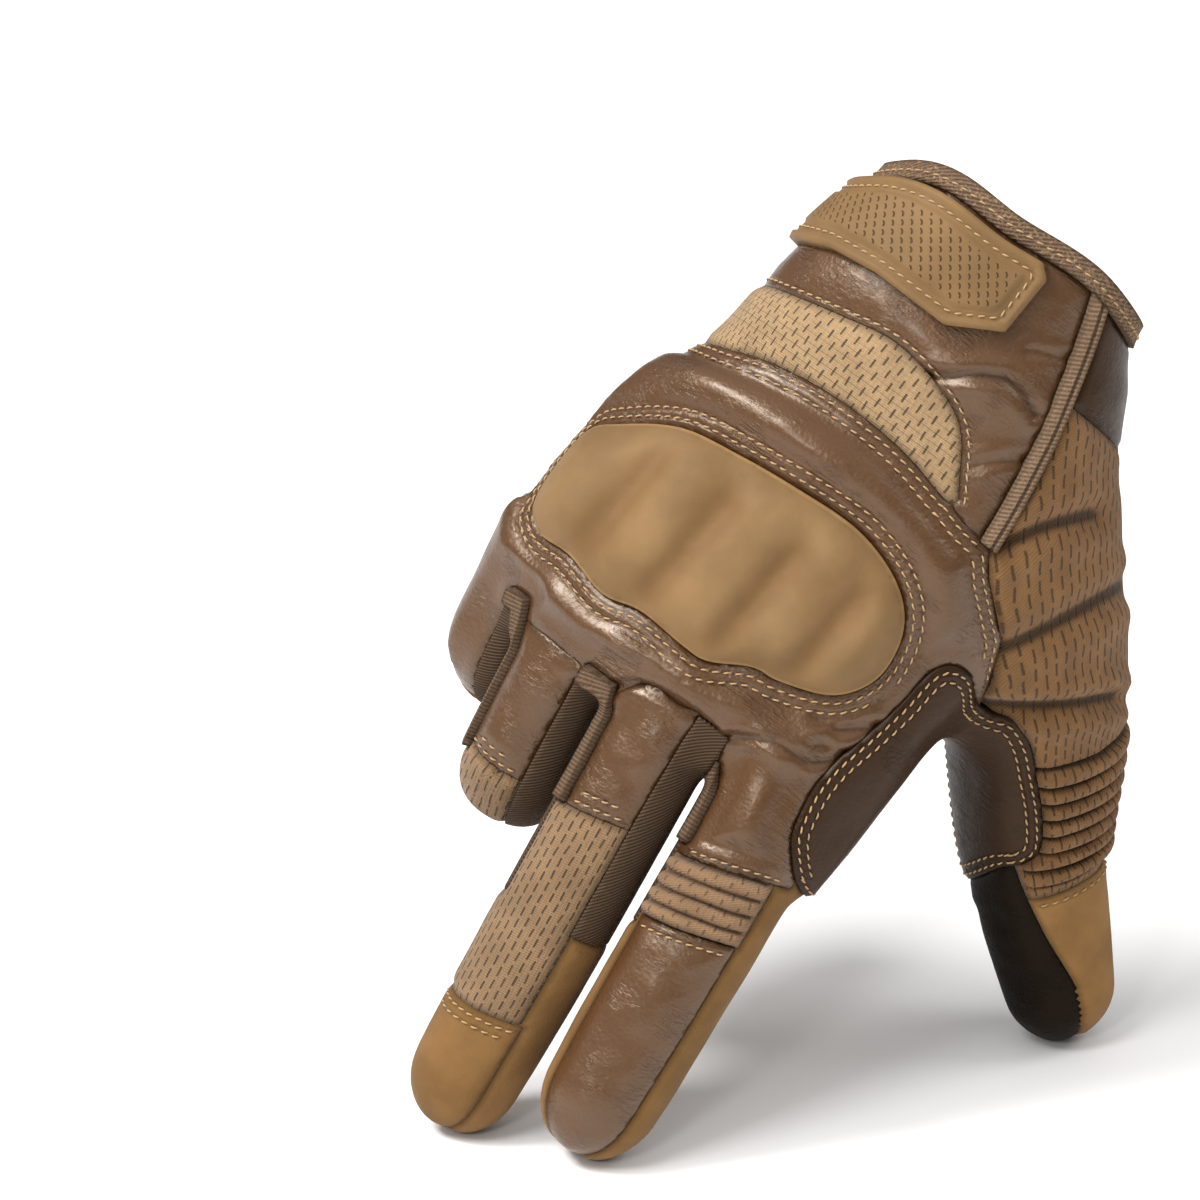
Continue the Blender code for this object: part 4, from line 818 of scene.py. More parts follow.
def piping(spot, slit):
    first, second, top = SLITS[slit]
    top = top * HAND_LENGTH
    mine = own(spot, second)
    inner = BACK_ANGLES[second][0]
    outer = inner - piping_turn(second)
    start = spot["p"][:, 1] - top + PIPING * 0.9
    edge = least(mine, between(spot, second, outer, inner), seam(second, 3) - spot["reach_" + second])
    side = least(mine, between(spot, second, -100, inner))
    high = BACK_ANGLES[first][1]
    loop = most(side, least(own(spot, first), between(spot, first, high, high + 60)))
    near = PIPING * 0.8 - np.abs(mine)
    round_top = least(loop, near, top - spot["p"][:, 1], -8 * spot["n"][:, 2] + 1)
    return least(most(edge, round_top), start, 6 - least(spot["off_" + first], spot["off_" + second]))


def back_leather(spot):
    ends = []
    for name in FINGERS:
        on = (limb_share(spot, name, FINGER_TURN) > 0.5) & (own(spot, name) > 0)
        end = 40 - spot["reach_" + name]
        if name in ("index", "little"):
            end = seam(name, 0) - slanted(spot, name)
        ends.append(np.where(on, end, 40))
    return least(back_side(spot), *ends)


def cuff_underside(spot):
    return UNDERSIDE_END * HAND_LENGTH - spot["p"][:, 1]


def finger_front(spot, name):
    """The palm's side of a finger, from the line where it bends out of the palm."""
    reach = spot["reach_" + name] - FINGER_FRONT * LIMBS[name][0]
    return least(own(spot, name), reach, 4 - spot["off_" + name])


def palm(spot):
    """What no other panel claims."""
    return np.full(len(spot["p"]), 9.0)


# Panels in the order in which they claim the skin: material, function and what the function is told
PANELS = {
    "cuff_binding": ("binding", cuff_binding),
    "flap_binding": ("binding", flap_binding),
    "inner_cuff": ("leather", inner_cuff),
    "knuckle_guard": ("guard", knuckle_guard),
    "wrist_knit": ("knit", wrist_knit),
    "cuff_leather": ("leather", cuff_leather),
    "web_patch": ("leather", web_patch),
    **{slit + "_piping": ("twill", piping, slit) for slit in SLITS},
    **{slit + "_fourchette": ("twill", fourchette, slit) for slit in SLITS},
    "thumb_tip": ("suede", thumb_tip),
    "thumb_palm": ("dark_leather", thumb_palm),
    "index_ribs": ("knit", finger_knit, "index"),
    "middle_knit": ("knit", finger_knit, "middle"),
    "ring_knit": ("knit", finger_knit, "ring"),
    "little_knit": ("knit", finger_knit, "little"),
    "index_tip": ("leather", finger_tip, "index"),
    "middle_tip": ("suede", finger_tip, "middle"),
    "ring_tip": ("suede", finger_tip, "ring"),
    "little_tip": ("suede", finger_tip, "little"),
    "ring_back": ("leather", finger_back, "ring", RING_CREASE),
    "middle_back": ("leather", finger_back, "middle", MIDDLE_CREASE),
    "thumb_knit": ("knit", thumb_knit),
    "back_leather": ("leather", back_leather),
    "cuff_underside": ("leather", cuff_underside),
    **{name + "_front": ("suede", finger_front, name) for name in FINGERS},
    "palm": ("suede", palm),
}


def claim(name, spot):
    """How far each point lies inside a panel's own seams."""
    _, function, *told = PANELS[name]
    return function(spot, *told)


def edges_of(faces):
    """Each edge once, and the edges of each face."""
    pairs = np.sort(faces[:, [0, 1, 1, 2, 2, 0]].reshape(-1, 2), axis=1)
    base = int(faces.max()) + 1
    keys, index = np.unique(pairs[:, 0] * base + pairs[:, 1], return_inverse=True)
    return np.stack([keys // base, keys % base], 1), index.reshape(-1, 3)


class Sheet:
    """The skin's triangles, with what the seams ask of each point kept beside the points."""

    def __init__(self, skin, points, faces):
        self.skin = skin
        self.faces = faces
        self.spot = skin.spots(points)
        self.locked = np.zeros(len(points), bool)

    def cut(self, function, free=None):
        """Lays edges along the line where the function is 0, where free is positive."""
        value = function(self.spot)
        value[np.abs(value) < np.where(self.locked, ON_TWO_SEAMS, ON_SEAM)] = 0.0
        edges, _ = edges_of(self.faces)
        a, b = edges.T
        crossing = value[a] * value[b] < 0
        t = self.where_zero(function, edges, value, crossing)
        crossing = self.open_at(edges, t, crossing, free)
        # A point near the line slides onto it, along the edge that needs it least
        points = self.spot["p"].copy()
        best = np.full(len(points), SNAP)
        for end, other, share in ((a, b, t), (b, a, 1 - t)):
            near = crossing & (share < SNAP) & ~self.locked[end]
            order = np.argsort(-share[near], kind="stable")
            at = np.nonzero(near)[0][order]
            better = share[at] < best[end[at]]
            at = at[better]
            best[end[at]] = share[at]
            step = share[at][:, None] * (self.spot["p"][other[at]] - self.spot["p"][end[at]])
            points[end[at]] = self.spot["p"][end[at]] + step
        moved = np.nonzero(best < SNAP)[0]
        moved = moved[~np.isin(moved, self.folded(points))]
        if len(moved):
            fresh = self.skin.spots(points[moved])
            for key in self.spot:
                self.spot[key][moved] = fresh[key]
            self.locked[moved] = True
            value[moved] = 0.0
        crossing = (value[a] * value[b] < 0) & crossing
        t = self.where_zero(function, edges, value, crossing)
        if crossing.any():
            self.add_points(edges, np.clip(t, EDGE_MARGIN, 1 - EDGE_MARGIN), crossing, True)

    def refine(self, where):
        """Halves the edges that join the chosen points."""
        edges, _ = edges_of(self.faces)
        self.add_points(edges, np.full(len(edges), 0.5), where[edges].all(1), False)

    def folded(self, points):
        """The corners of faces that would turn over if the points moved there."""
        normal = face_crosses(points, self.faces)
        over = (normal * self.spot["n"][self.faces].sum(1)).sum(1) < 0.2 * np.linalg.norm(normal, axis=1)
        return self.faces[over]

    def where_zero(self, function, edges, value, crossing):
        """The share of each crossing edge at which the function is 0."""
        t = np.full(len(edges), 0.5)
        ends = self.spot["p"][edges[crossing]]
        if not len(ends):
            return t
        low, high = np.zeros(len(ends)), np.ones(len(ends))
        at_low, at_high = value[edges[crossing]].T
        for _ in range(2):
            share = low + (high - low) * np.clip(at_low / (at_low - at_high), 0.1, 0.9)
            now = function(self.skin.spots(ends[:, 0] + (ends[:, 1] - ends[:, 0]) * share[:, None]))
            below = now * at_low > 0
            low, at_low = np.where(below, share, low), np.where(below, now, at_low)
            high, at_high = np.where(below, high, share), np.where(below, at_high, now)
        t[crossing] = low + (high - low) * at_low / np.where(at_low == at_high, 1, at_low - at_high)
        return t

    def open_at(self, edges, t, chosen, free):
        """The chosen edges whose point at t is free."""
        chosen = chosen.copy()
        if free and chosen.any():
            ends = self.spot["p"][edges[chosen]]
            share = t[chosen][:, None]
            chosen[chosen] = free(self.skin.spots(ends[:, 0] * (1 - share) + ends[:, 1] * share)) > 0
        return chosen

    def add_points(self, edges, t, chosen, lock):
        """Adds a point at t on each chosen edge and splits the faces there."""
        new = np.full(len(edges), -1)
        new[chosen] = len(self.locked) + np.arange(chosen.sum())
        ends = self.spot["p"][edges[chosen]]
        share = t[chosen][:, None]
        fresh = self.skin.spots(ends[:, 0] * (1 - share) + ends[:, 1] * share)
        for key in self.spot:
            self.spot[key] = np.concatenate([self.spot[key], fresh[key]])
        both = self.locked[edges[chosen]].all(1)
        self.locked = np.concatenate([self.locked, both | lock])
        self.split(new)

    def split(self, new):
        """Splits each face through the new points of its edges."""
        _, index = edges_of(self.faces)
        middle = new[index]
        count = (middle >= 0).sum(1)
        out = [self.faces[count == 0]]
        for corner in range(3):
            turn = [corner, (corner + 1) % 3, (corner + 2) % 3]
            one = (count == 1) & (middle[:, corner] >= 0)
            f, m = self.faces[one][:, turn], middle[one][:, corner]
            out.append(np.stack([f[:, 0], m, f[:, 2]], 1))
            out.append(np.stack([m, f[:, 1], f[:, 2]], 1))
            two = (count == 2) & (middle[:, turn[2]] < 0)
            f, m0, m1 = self.faces[two][:, turn], middle[two][:, turn[0]], middle[two][:, turn[1]]
            out.append(np.stack([m0, f[:, 1], m1], 1))
            points = self.spot["p"]
            first = np.linalg.norm(points[m0] - points[f[:, 2]], axis=1)
            second = np.linalg.norm(points[f[:, 0]] - points[m1], axis=1)
            short = first < second
            out.append(np.stack([f[:, 0], m0, np.where(short, f[:, 2], m1)], 1))
            out.append(np.stack([np.where(short, m0, f[:, 0]), m1, f[:, 2]], 1))
        three = count == 3
        f, m = self.faces[three], middle[three]
        out.append(m)
        for corner in range(3):
            out.append(np.stack([f[:, corner], m[:, corner], m[:, corner - 1]], 1))
        self.faces = np.concatenate(out)


def islands(faces, labels):
    """A number for each connected patch of faces with one label."""
    sides = edges_of(faces)[1].reshape(-1)
    order = np.argsort(sides, kind="stable")
    sides = sides[order]
    owner = order // 3
    same = sides[1:] == sides[:-1]
    one, two = owner[:-1][same], owner[1:][same]
    joined = labels[one] == labels[two]
    group = np.arange(len(faces))
    a, b = one[joined], two[joined]
    while True:
        low = np.minimum(group[a], group[b])
        before = group.copy()
        np.minimum.at(group, a, low)
        np.minimum.at(group, b, low)
        group = group[group]
        if (group == before).all():
            return group, one, two


def settle(faces, labels, points):
    """Gives stray patches of a panel to the neighbour with which they share most."""
    for _ in range(6):
        group, one, two = islands(faces, labels)
        area = np.linalg.norm(face_crosses(points, faces), axis=1)
        sums = np.bincount(group, area, len(faces))
        keep = {}
        for g in np.unique(group):
            name = labels[g]
            if name not in keep or sums[g] > sums[keep[name]]:
                keep[name] = g
        stray = ~np.isin(group, list(keep.values()))
        if not stray.any():
            break
        for g in np.unique(group[stray]):
            touch = ((group[one] == g) ^ (group[two] == g)) & (labels[one] != labels[two])
            if not touch.any():
                continue
            beside = np.where(group[one[touch]] == g, labels[two[touch]], labels[one[touch]])
            names, counts = np.unique(beside, return_counts=True)
            labels[group == g] = names[np.argmax(counts)]
    return labels


def swell(spot):
    """The soft rise of the leather between its seams."""
    flat = spot["p"][:, :2]
    rise = np.zeros(len(flat))
    for across, along, half_x, half_y, share in SWELLS:
        x = (flat[:, 0] - across * HAND_BREADTH) / (half_x * HAND_BREADTH)
        y = (flat[:, 1] - along * HAND_LENGTH) / (half_y * HAND_LENGTH)
        rise += share * HAND_DEPTH * np.exp(-(x * x + y * y) * 1.6)
    return rise * smoothstep(-spot["n"][:, 2] * 1.6)


def guard_relief(spot):
    """The guard's rise from its edge, with knuckle ridges between valleys."""
    edge = np.clip(within(GUARD, spot), 0, None)
    rim = 1 - (1 - np.clip(edge / 9, 0, 1)) ** 2
    valleys = np.array(GUARD_VALLEYS) * HAND_BREADTH
    near = np.abs(spot["p"][:, :1] - valleys).min(1)
    ridge = smoothstep(near / 7) - 0.5
    return GUARD_EDGE + (GUARD_RISE - GUARD_EDGE) * rim + GUARD_RIDGE * ridge * smoothstep(edge / 8)


def rib_facts(name, spot):
    """Phase, count, pitch and rise of a panel's ribs, and from 0 to 1 how far in from its sides."""
    if name == "thumb_knit":
        end = THUMB_STITCH * THUMB_LENGTH - THUMB_RIB_PITCH * 0.8
        phase = (end - spot["reach_thumb"]) / THUMB_RIB_PITCH
        return phase, THUMB_RIBS, THUMB_RIB_PITCH, THUMB_RIB_RISE, smoothstep(thumb_span(spot) / 3)
    phase = (seam("index", 1) - slanted(spot, "index")) / INDEX_RIB_PITCH
    across = smoothstep(between(spot, "index", *KNIT_ANGLES["index"]) / 2.5)
    return phase, INDEX_RIBS, INDEX_RIB_PITCH, INDEX_RIB_RISE, across


def relief(name, spot):
    """How far a panel's outer face stands off the skin, and how far its middle does."""
    soft = swell(spot)
    if name == "knuckle_guard":
        return soft + guard_relief(spot), soft
    if name in RIBBED:
        phase, count, _, rise, across = rib_facts(name, spot)
        inside = (phase > 0) & (phase < count)
        wave = np.abs(np.sin(np.pi * phase)) ** 0.7
        return soft + across * np.where(inside, rise * wave, 0.0), soft
    return soft + STANDS_OFF.get(name, 0.0), soft


def wall_of(name):
    return WALLS.get(PANELS[name][0], KNIT_WALL)


def panel_mesh(spot, faces):
    """The panel's own points and faces, with its border and the way in from it at each point."""
    used, index = np.unique(faces, return_inverse=True)
    faces = index.reshape(-1, 3)
    points = spot["p"][used]
    normals = spot["n"][used]
    source = used
    # Points where the panel touches itself are parted, a copy for each fan of faces
    for _ in range(4):
        directed = faces[:, [0, 1, 1, 2, 2, 0]].reshape(-1, 2)
        have = set(map(tuple, directed.tolist()))
        border = [edge for edge in map(tuple, directed.tolist()) if edge[::-1] not in have]
        doubled = [v for v, times in Counter(a for a, _ in border).items() if times > 1]
        if not doubled:
            break
        for v in doubled:
            around = np.nonzero((faces == v).any(1))[0]
            group = {around[0]}
            grown = True
            while grown:
                grown = False
                for f in around:
                    if f in group:
                        continue
                    others = set(faces[f]) - {v}
                    if any(others & (set(faces[g]) - {v}) for g in group):
                        group.add(f)
                        grown = True
            rest = [f for f in around if f not in group]
            if not rest:
                continue
            fresh = len(points)
            points = np.concatenate([points, points[v : v + 1]])
            normals = np.concatenate([normals, normals[v : v + 1]])
            source = np.concatenate([source, source[v : v + 1]])
            block = faces[rest]
            block[block == v] = fresh
            faces[rest] = block
    border = np.array(border)
    # Inward direction along the skin, mitred at corners
    along = unit(points[border[:, 1]] - points[border[:, 0]])
    total = np.zeros_like(points)
    count = np.zeros(len(points))
    for end in (0, 1):
        np.add.at(total, border[:, end], unit(np.cross(normals[border[:, end]], along)))
        np.add.at(count, border[:, end], 1)
    edge = count > 0
    size = (total[edge] ** 2).sum(1)
    inward = np.zeros_like(points)
    inward[edge] = total[edge] * (2 / np.maximum(size, 0.8))[:, None]
    return points, normals, faces, border, source, inward


def wall_mesh(spot, faces, base, rise, wall, gap):
    """A closed wall: the outer face at rise, the inner one a wall below base, and sides round the border."""
    points, normals, faces, border, source, inward = panel_mesh(spot, faces)
    count = len(points)
    outer = points + inward * gap + normals * rise[source][:, None]
    inner = points + inward * gap + normals * (base[source] - wall)[:, None]
    one, two = border.T
    sides = [np.stack([two, one, one + count], 1), np.stack([two, one + count, two + count], 1)]
    return np.concatenate([outer, inner]), np.concatenate([faces, faces[:, ::-1] + count, *sides]), source


def claimed(names):
    """Positive where none of the named panels lies."""

    def free(spot):
        if not names:
            return np.ones(len(spot["p"]))
        return -np.maximum.reduce([claim(name, spot) for name in names])

    return free


def rim_cut(spot):
    return spot["p"][:, 1] - height_of(RIM, spot)


def strap_pad(spot):
    """The strap's end on the back of the cuff, led round its little-finger side."""
    outline = from_line(in_hand(STRAP_PAD), True, spot["p"][:, :2])
    return least(outline, body_back(spot) + STRAP_REACH, -cuff_binding(spot) - STRAP_MARGIN)


# Rows of stitches: the panel that carries them, its neighbour, and each row's distance from the seam
STITCHED = [
    ("back_leather", "knuckle_guard", (1.9, 3.9)),
    ("back_leather", "wrist_knit", (1.4, 3.4)),
    ("back_leather", "cuff_leather", (1.4, 3.4)),
    ("back_leather", "thumb_knit", (1.4, 3.4)),
    ("back_leather", "little_knit", (1.5, 3.6)),
    ("back_leather", "index_ribs", (1.3,)),
    ("web_patch", "back_leather", (1.3, 3.2)),
    ("web_patch", "thumb_knit", (1.3, 3.2)),
    ("web_patch", "thumb_palm", (1.3, 3.2)),
    ("web_patch", "palm", (1.3,)),
    ("web_patch", "index_front", (1.3,)),
    ("cuff_leather", "wrist_knit", (1.4,)),
    ("ring_back", "ring_knit", (1.5, 3.7)),
    ("middle_back", "middle_knit", (1.5, 3.7)),
    ("middle_tip", "middle_knit", (1.5, 3.5)),
    ("index_tip", "index_ribs", (2.0,)),
    ("thumb_tip", "thumb_knit", (1.6,)),
    ("ring_tip", "ring_knit", (1.5,)),
    ("little_tip", "little_knit", (1.5,)),
]
# Gap between panels, how far a point off all rows counts, and how far past its seam a row may run
PANEL_GAP = 0.04
ROW_OFF = 9.0
SEAM_ENDS = 0.6

# The stitches' pitch, length, radius and mesh, their row on the strap, and how far round a limb rows go
STITCH_PITCH = 2.3
STITCH_LENGTH = 1.65
STITCH_RADIUS = 0.20
STITCH_PARTS = 4
STITCH_SIDES = 6
STRAP_ROW = 2.5
ROW_TURN = 0.2

# The strap's end: where its rim ends and its field begins, the width of these steps, and the heights
RIM_INSET = 1.7
FIELD_INSET = 3.7
STRAP_STEP = 0.5
RIM_HEIGHT = 0.55
FIELD_HEIGHT = 0.50
STRAP_LIFT = 0.28
EDGE_DROP = 0.5

# The creases where index and middle finger leave the hand
INDEX_LINE = [(0.139, 0.924), (0.207, 0.893), (0.270, 0.885), (0.321, 0.878), (0.370, 0.840)]
KNUCKLE_LINE = [(-0.138, 0.993), (-0.110, 0.955), (-0.067, 0.941), (0.010, 0.930), (0.100, 0.935)]

# Folds: the panel, depth and half width in millimetres, and the line as shares of the hand's size
FOLDS = [
    ("cuff_leather", 1.00, 1.3, [(0.0, 0.262), (0.06, 0.232), (0.12, 0.196), (0.186, 0.178), (0.262, 0.196)]),
    ("cuff_leather", 0.45, 1.0, [(0.170, 0.118), (0.250, 0.090)]),
    ("cuff_leather", 0.50, 1.2, [(0.215, 0.330), (0.262, 0.290), (0.300, 0.270)]),
    ("thumb_knit", 1.30, 2.6, [(0.370, 0.410), (0.430, 0.335), (0.500, 0.270)]),
    ("thumb_knit", 1.30, 2.6, [(0.500, 0.560), (0.565, 0.471), (0.629, 0.370), (0.670, 0.310)]),
    ("thumb_knit", 1.90, 2.0, [(0.520, 0.655), (0.600, 0.615), (0.704, 0.555), (0.790, 0.490)]),
    ("back_leather", 0.60, 1.2, [(0.270, 0.822), (0.330, 0.806), (0.385, 0.770)]),
    ("back_leather", 0.45, 1.0, [(0.300, 0.850), (0.352, 0.838), (0.392, 0.810)]),
    ("back_leather", 0.75, 1.0, INDEX_LINE),
    ("middle_back", 0.75, 1.0, KNUCKLE_LINE),
    ("back_leather", 0.75, 1.0, KNUCKLE_LINE),
]

# The puff of the back's leather, and the depth and half width of the valleys between ribs, in millimetres
PUFF = 1.5
RIB_VALLEY = 1.0
RIB_VALLEY_HALF = 0.55

# The noise that moves the cloth
NOISE_SEED = 7
NOISE_STEPS = 32

# Tones of the materials, as linear red, green and blue
TONES = {
    "leather": (0.102, 0.044, 0.016),
    # A darker copy of the leather, painted shade for the web patch and the inside of the cuff
    "deep_leather": (0.042, 0.018, 0.007),
    "dark_leather": (0.012, 0.007, 0.004),
    "suede": (0.205, 0.108, 0.038),
    "guard": (0.228, 0.136, 0.058),
    "rubber": (0.188, 0.108, 0.044),
    "wrist_knit": (0.430, 0.282, 0.150),
    "thumb_knit": (0.235, 0.120, 0.048),
    "finger_knit": (0.280, 0.172, 0.092),
    "rib_knit": (0.285, 0.168, 0.090),
    # The twill is dark brown, and its tone is set darker still as painted shade for the slits between the
    # fingers
    "twill": (0.080, 0.050, 0.031),
    "binding": (0.190, 0.122, 0.076),
    "thread": (0.500, 0.325, 0.165),
    "floor": (0.93, 0.93, 0.93),
}

# The photograph: millimetres to a pixel at the wrist, metres away, its side and the wrist's place in pixels
PHOTO_SCALE = 0.2
PHOTO_FAR = 1.5
PHOTO_SIDE = 1200
WRIST_IN_PHOTO = (1002, 252)
SENSOR = 36
FLOOR_GAP = 0.0002

# Lights: name, kind, strength, way from the glove in metres, and angle or side
LIGHTS = [
    ("sun", "SUN", 2.3, (-0.85, -0.20, 1.25), 16),
    ("key", "AREA", 5.0, (-0.38, -0.45, 0.78), 0.34),
    ("glint", "AREA", 2.2, (-0.28, -0.95, 0.55), 0.16),
    ("rim", "AREA", 2.0, (0.80, 0.10, 0.60), 0.40),
]


class Noise:
    """Smooth noise from a seeded grid of numbers, which repeats after NOISE_STEPS."""

    def __init__(self, seed):
        self.values = np.random.default_rng(seed).random((NOISE_STEPS,) * 3) * 2 - 1

    def at(self, places):
        base = np.floor(places).astype(int)
        share = smoothstep(places - base)
        out = np.zeros(len(places))
        for corner in range(8):
            step = np.array([corner & 1, corner >> 1 & 1, corner >> 2 & 1])
            weight = np.prod(np.where(step, share, 1 - share), axis=1)
            i = (base + step) % NOISE_STEPS
            out += weight * self.values[i[:, 0], i[:, 1], i[:, 2]]
        return out


NOISE = Noise(NOISE_SEED)


def wander(points, size, shift=0.0):
    """Smooth noise from -1 to 1 whose waves are about as long as the size, in millimetres."""
    return NOISE.at(points / size + shift)


def bell(values):
    return np.exp(-(values**2))


def reach_to(line, points):
    """Distance from each point to the nearest point of a line."""
    if not len(line):
        return np.full(len(points), FAR_OFF)
    tree = KDTree(len(line))
    for place, point in enumerate(line.tolist()):
        tree.insert(point, place)
    tree.balance()
    return np.array([tree.find(point)[2] for point in points.tolist()])


def along_edges(points, edges):
    """Points spread along edges."""
    ends = points[edges]
    return np.concatenate([ends[:, 0] * (1 - t) + ends[:, 1] * t for t in (0.0, 0.33, 0.67)])


def chains(faces, value):
    """Runs of edges that the line where the value is 0 steps over, in their order."""
    sides = faces[:, [[0, 1], [1, 2], [2, 0]]]
    crossed = value[sides[..., 0]] * value[sides[..., 1]] < 0
    chosen = crossed.sum(1) == 2
    pairs = np.sort(sides[chosen][crossed[chosen]].reshape(-1, 2, 2), axis=-1)
    links = {}
    for one, two in pairs.tolist():
        links.setdefault(tuple(one), []).append(tuple(two))
        links.setdefault(tuple(two), []).append(tuple(one))
    seen = set()
    runs = []
    for start in [key for key, near in links.items() if len(near) == 1] + list(links):
        if start in seen:
            continue
        run = [start]
        seen.add(start)
        while True:
            ahead = [key for key in links[run[-1]] if key not in seen]
            if not ahead:
                break
            run.append(ahead[0])
            seen.add(ahead[0])
        if len(run) > 4 and start in links[run[-1]]:
            run.append(start)
        runs.append(np.array(run))
    return runs


def normals_of(points, faces):
    cross = face_crosses(points, faces)
    out = np.zeros_like(points)
    for k in range(3):
        np.add.at(out, faces[:, k], cross)
    return unit(out)


def stitch_rows(points, faces, value, usable):
    """Stitches along the line where the value is 0: their middle lines and directions off the cloth."""
    value = np.where(value == 0, 1e-6, value)
    inside = faces[usable[faces].all(1)]
    if not len(inside):
        return []
    normals = normals_of(points, faces)
    found = []
    for run in chains(inside, value):
        a, b = run[:, 0], run[:, 1]
        t = (value[a] / (value[a] - value[b]))[:, None]
        line = points[a] * (1 - t) + points[b] * t
        out = normals[a] * (1 - t) + normals[b] * t
        # The line is made even before it is measured
        for _ in range(3):
            line[1:-1] = (line[:-2] + 2 * line[1:-1] + line[2:]) / 4
        far = np.concatenate([[0], np.cumsum(np.linalg.norm(np.diff(line, axis=0), axis=1))])
        if far[-1] < 2 * STITCH_PITCH:
            continue
        count = int(round(far[-1] / STITCH_PITCH))
        middle = (np.arange(count) + 0.5) * far[-1] / count
        places = middle[:, None] + np.linspace(-0.5, 0.5, STITCH_PARTS + 1) * STITCH_LENGTH
        at = [np.interp(places, far, line[:, k]) for k in range(3)]
        off = [np.interp(places, far, out[:, k]) for k in range(3)]
        found.append((np.stack(at, -1), np.stack(off, -1)))
    return found


def add_item(name, mesh, material):
    """An object of the mesh, which rides on the glove."""
    item = bpy.data.objects.new(name, mesh)
    bpy.context.scene.collection.objects.link(item)
    mesh.materials.append(paint(material))
    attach(item, "root")
    return item


def add_stitches(name, found):
    """All stitches of one panel as one object."""
    if not found:
        return
    line = np.concatenate([one for one, _ in found])
    off = np.concatenate([two for _, two in found])
    off = off / np.linalg.norm(off, axis=-1)[..., None]
    ahead = unit(line[:, -1] - line[:, 0])
    side = unit(np.cross(off, ahead[:, None]))
    slant = np.linspace(-0.13, 0.13, STITCH_PARTS + 1)[None, :, None]
    height = np.array([-0.16, 0.10, 0.17, 0.10, -0.16])[None, :, None]
    line = line + side * slant + off * height
    radius = STITCH_RADIUS * np.array([0.55, 0.95, 1.05, 0.95, 0.55])
    angle = np.arange(STITCH_SIDES)[:, None] * math.pi / 3
    ring = np.cos(angle) * side[:, :, None] + np.sin(angle) * off[:, :, None]
    points = (line[:, :, None] + ring * radius[:, None, None]).reshape(-1, 3)
    corners = np.arange((STITCH_PARTS + 1) * STITCH_SIDES).reshape(-1, STITCH_SIDES)
    after = np.roll(corners, -1, axis=1)
    quads = np.stack([corners[:-1], after[:-1], after[1:], corners[1:]], -1).reshape(-1, 4)
    ends = np.array([corners[0][::-1], corners[-1]])
    first = (np.arange(len(line)) * corners.size)[:, None, None]
    faces = (quads + first).reshape(-1, 4).tolist() + (ends + first).reshape(-1, STITCH_SIDES).tolist()
    mesh = bpy.data.meshes.new(name)
    mesh.from_pydata(to_row(points).tolist(), [], faces)
    mesh.shade_smooth()
    add_item(name, mesh, "thread")


def limb_of(name):
    if name.endswith(("fourchette", "piping")):
        return None
    return next((limb for limb in LIMBS if name.startswith(limb)), None)


def cloth_places(name, spot):
    """Places on the cloth in millimetres: round and along."""
    limb = limb_of(name)
    x, y, z = spot["p"].T
    if limb:
        return np.radians(spot["angle_" + limb]) * LIMBS[limb][1] / 2, spot["reach_" + limb]
    if name.endswith("piping"):
        return own(spot, name.split("_")[1]) + z * 0.5, y
    if name.endswith("fourchette"):
        return x + z, y
    if name == "flap_binding":
        return flap_side(spot), y
    half_w, half_d, across, deep, _ = body_at(y)
    front = 1 if name in ("cuff_underside", "palm") else -1
    angle = np.arctan2((x - across) / half_w, front * (z - deep) / half_d)
    round_place = angle * (half_w + half_d) / 2
    if name == "cuff_binding":
        return round_place, y - height_of(RIM, spot)
    return round_place, y


def folds_of(name, spot):
    """Creases with a soft bulge on each side, and how deep in a crease each point lies."""
    rise = np.zeros(len(spot["p"]))
    deep = np.zeros(len(spot["p"]))
    front = smoothstep(-spot["n"][:, 2] * 3 + 0.6)
    for panel, depth, width, line in FOLDS:
        if panel != name:
            continue
        far = np.abs(from_line(rounded(in_hand(line), False), False, spot["p"][:, :2])) / width
        rise += front * depth * (0.55 * np.exp(-((far - 2.0) ** 2) / 1.1) - bell(far))
        deep = np.maximum(deep, front * min(1.0, depth) * bell(far / 0.6))
    return rise, deep


def rib_valleys(name, spot):
    """How near each point is to the bottom of a valley between ribs, from 0 to 1."""
    if name not in RIBBED:
        return np.zeros(len(spot["p"]))
    phase, count, pitch, _, across = rib_facts(name, spot)
    inside = (phase > -0.3) & (phase < count + 0.3)
    phase = phase + 0.10 * wander(spot["p"], 6.0, 4.4)
    far = (phase - np.round(phase)) * pitch / RIB_VALLEY_HALF
    return np.where(inside, across * bell(far), 0.0) * (1.0 if name == "thumb_knit" else 0.7)


def leather_rise(name, spot, edge, seam_far):
    """The leather's puff between its seams, its waves and its small dents, in millimetres."""
    p = spot["p"]
    if name == "back_leather":
        rise = PUFF * smoothstep((edge - 3.6) / 5.5)
        rise -= 0.35 * np.exp(-((edge - 4.6) ** 2) / 0.8) * (seam_far < 7)
        rise += 0.22 * np.exp(-((seam_far - 2.7) ** 2) / 0.35)
    elif name in ("web_patch", "inner_cuff"):
        rise = 0.20 * smoothstep(edge / 2.0)
    else:
        rise = 0.60 * smoothstep((edge - 1.0) / 5.0)
    rise += 0.30 * wander(p, 11.0) * smoothstep((edge - 3) / 5)
    rise += 0.14 * wander(p, 4.2, 9.3) * smoothstep((edge - 3) / 4)
    rise -= 0.40 * bell(edge / 0.9)
    if limb_of(name):
        round_place, along = cloth_places(name, spot)
        wave = NOISE.at(np.stack([round_place / 11.0, along / 3.4, np.full(len(p), 4.5)], 1))
        rise += 0.26 * wave * smoothstep((edge - 2) / 3)
        rise += 0.45 * wander(p, 9.0, 1.7) * smoothstep((edge - 2) / 4)
    if name == "index_tip":
        rise += 0.55 * bell((seam_far - 0.8) / 0.6)
    return rise


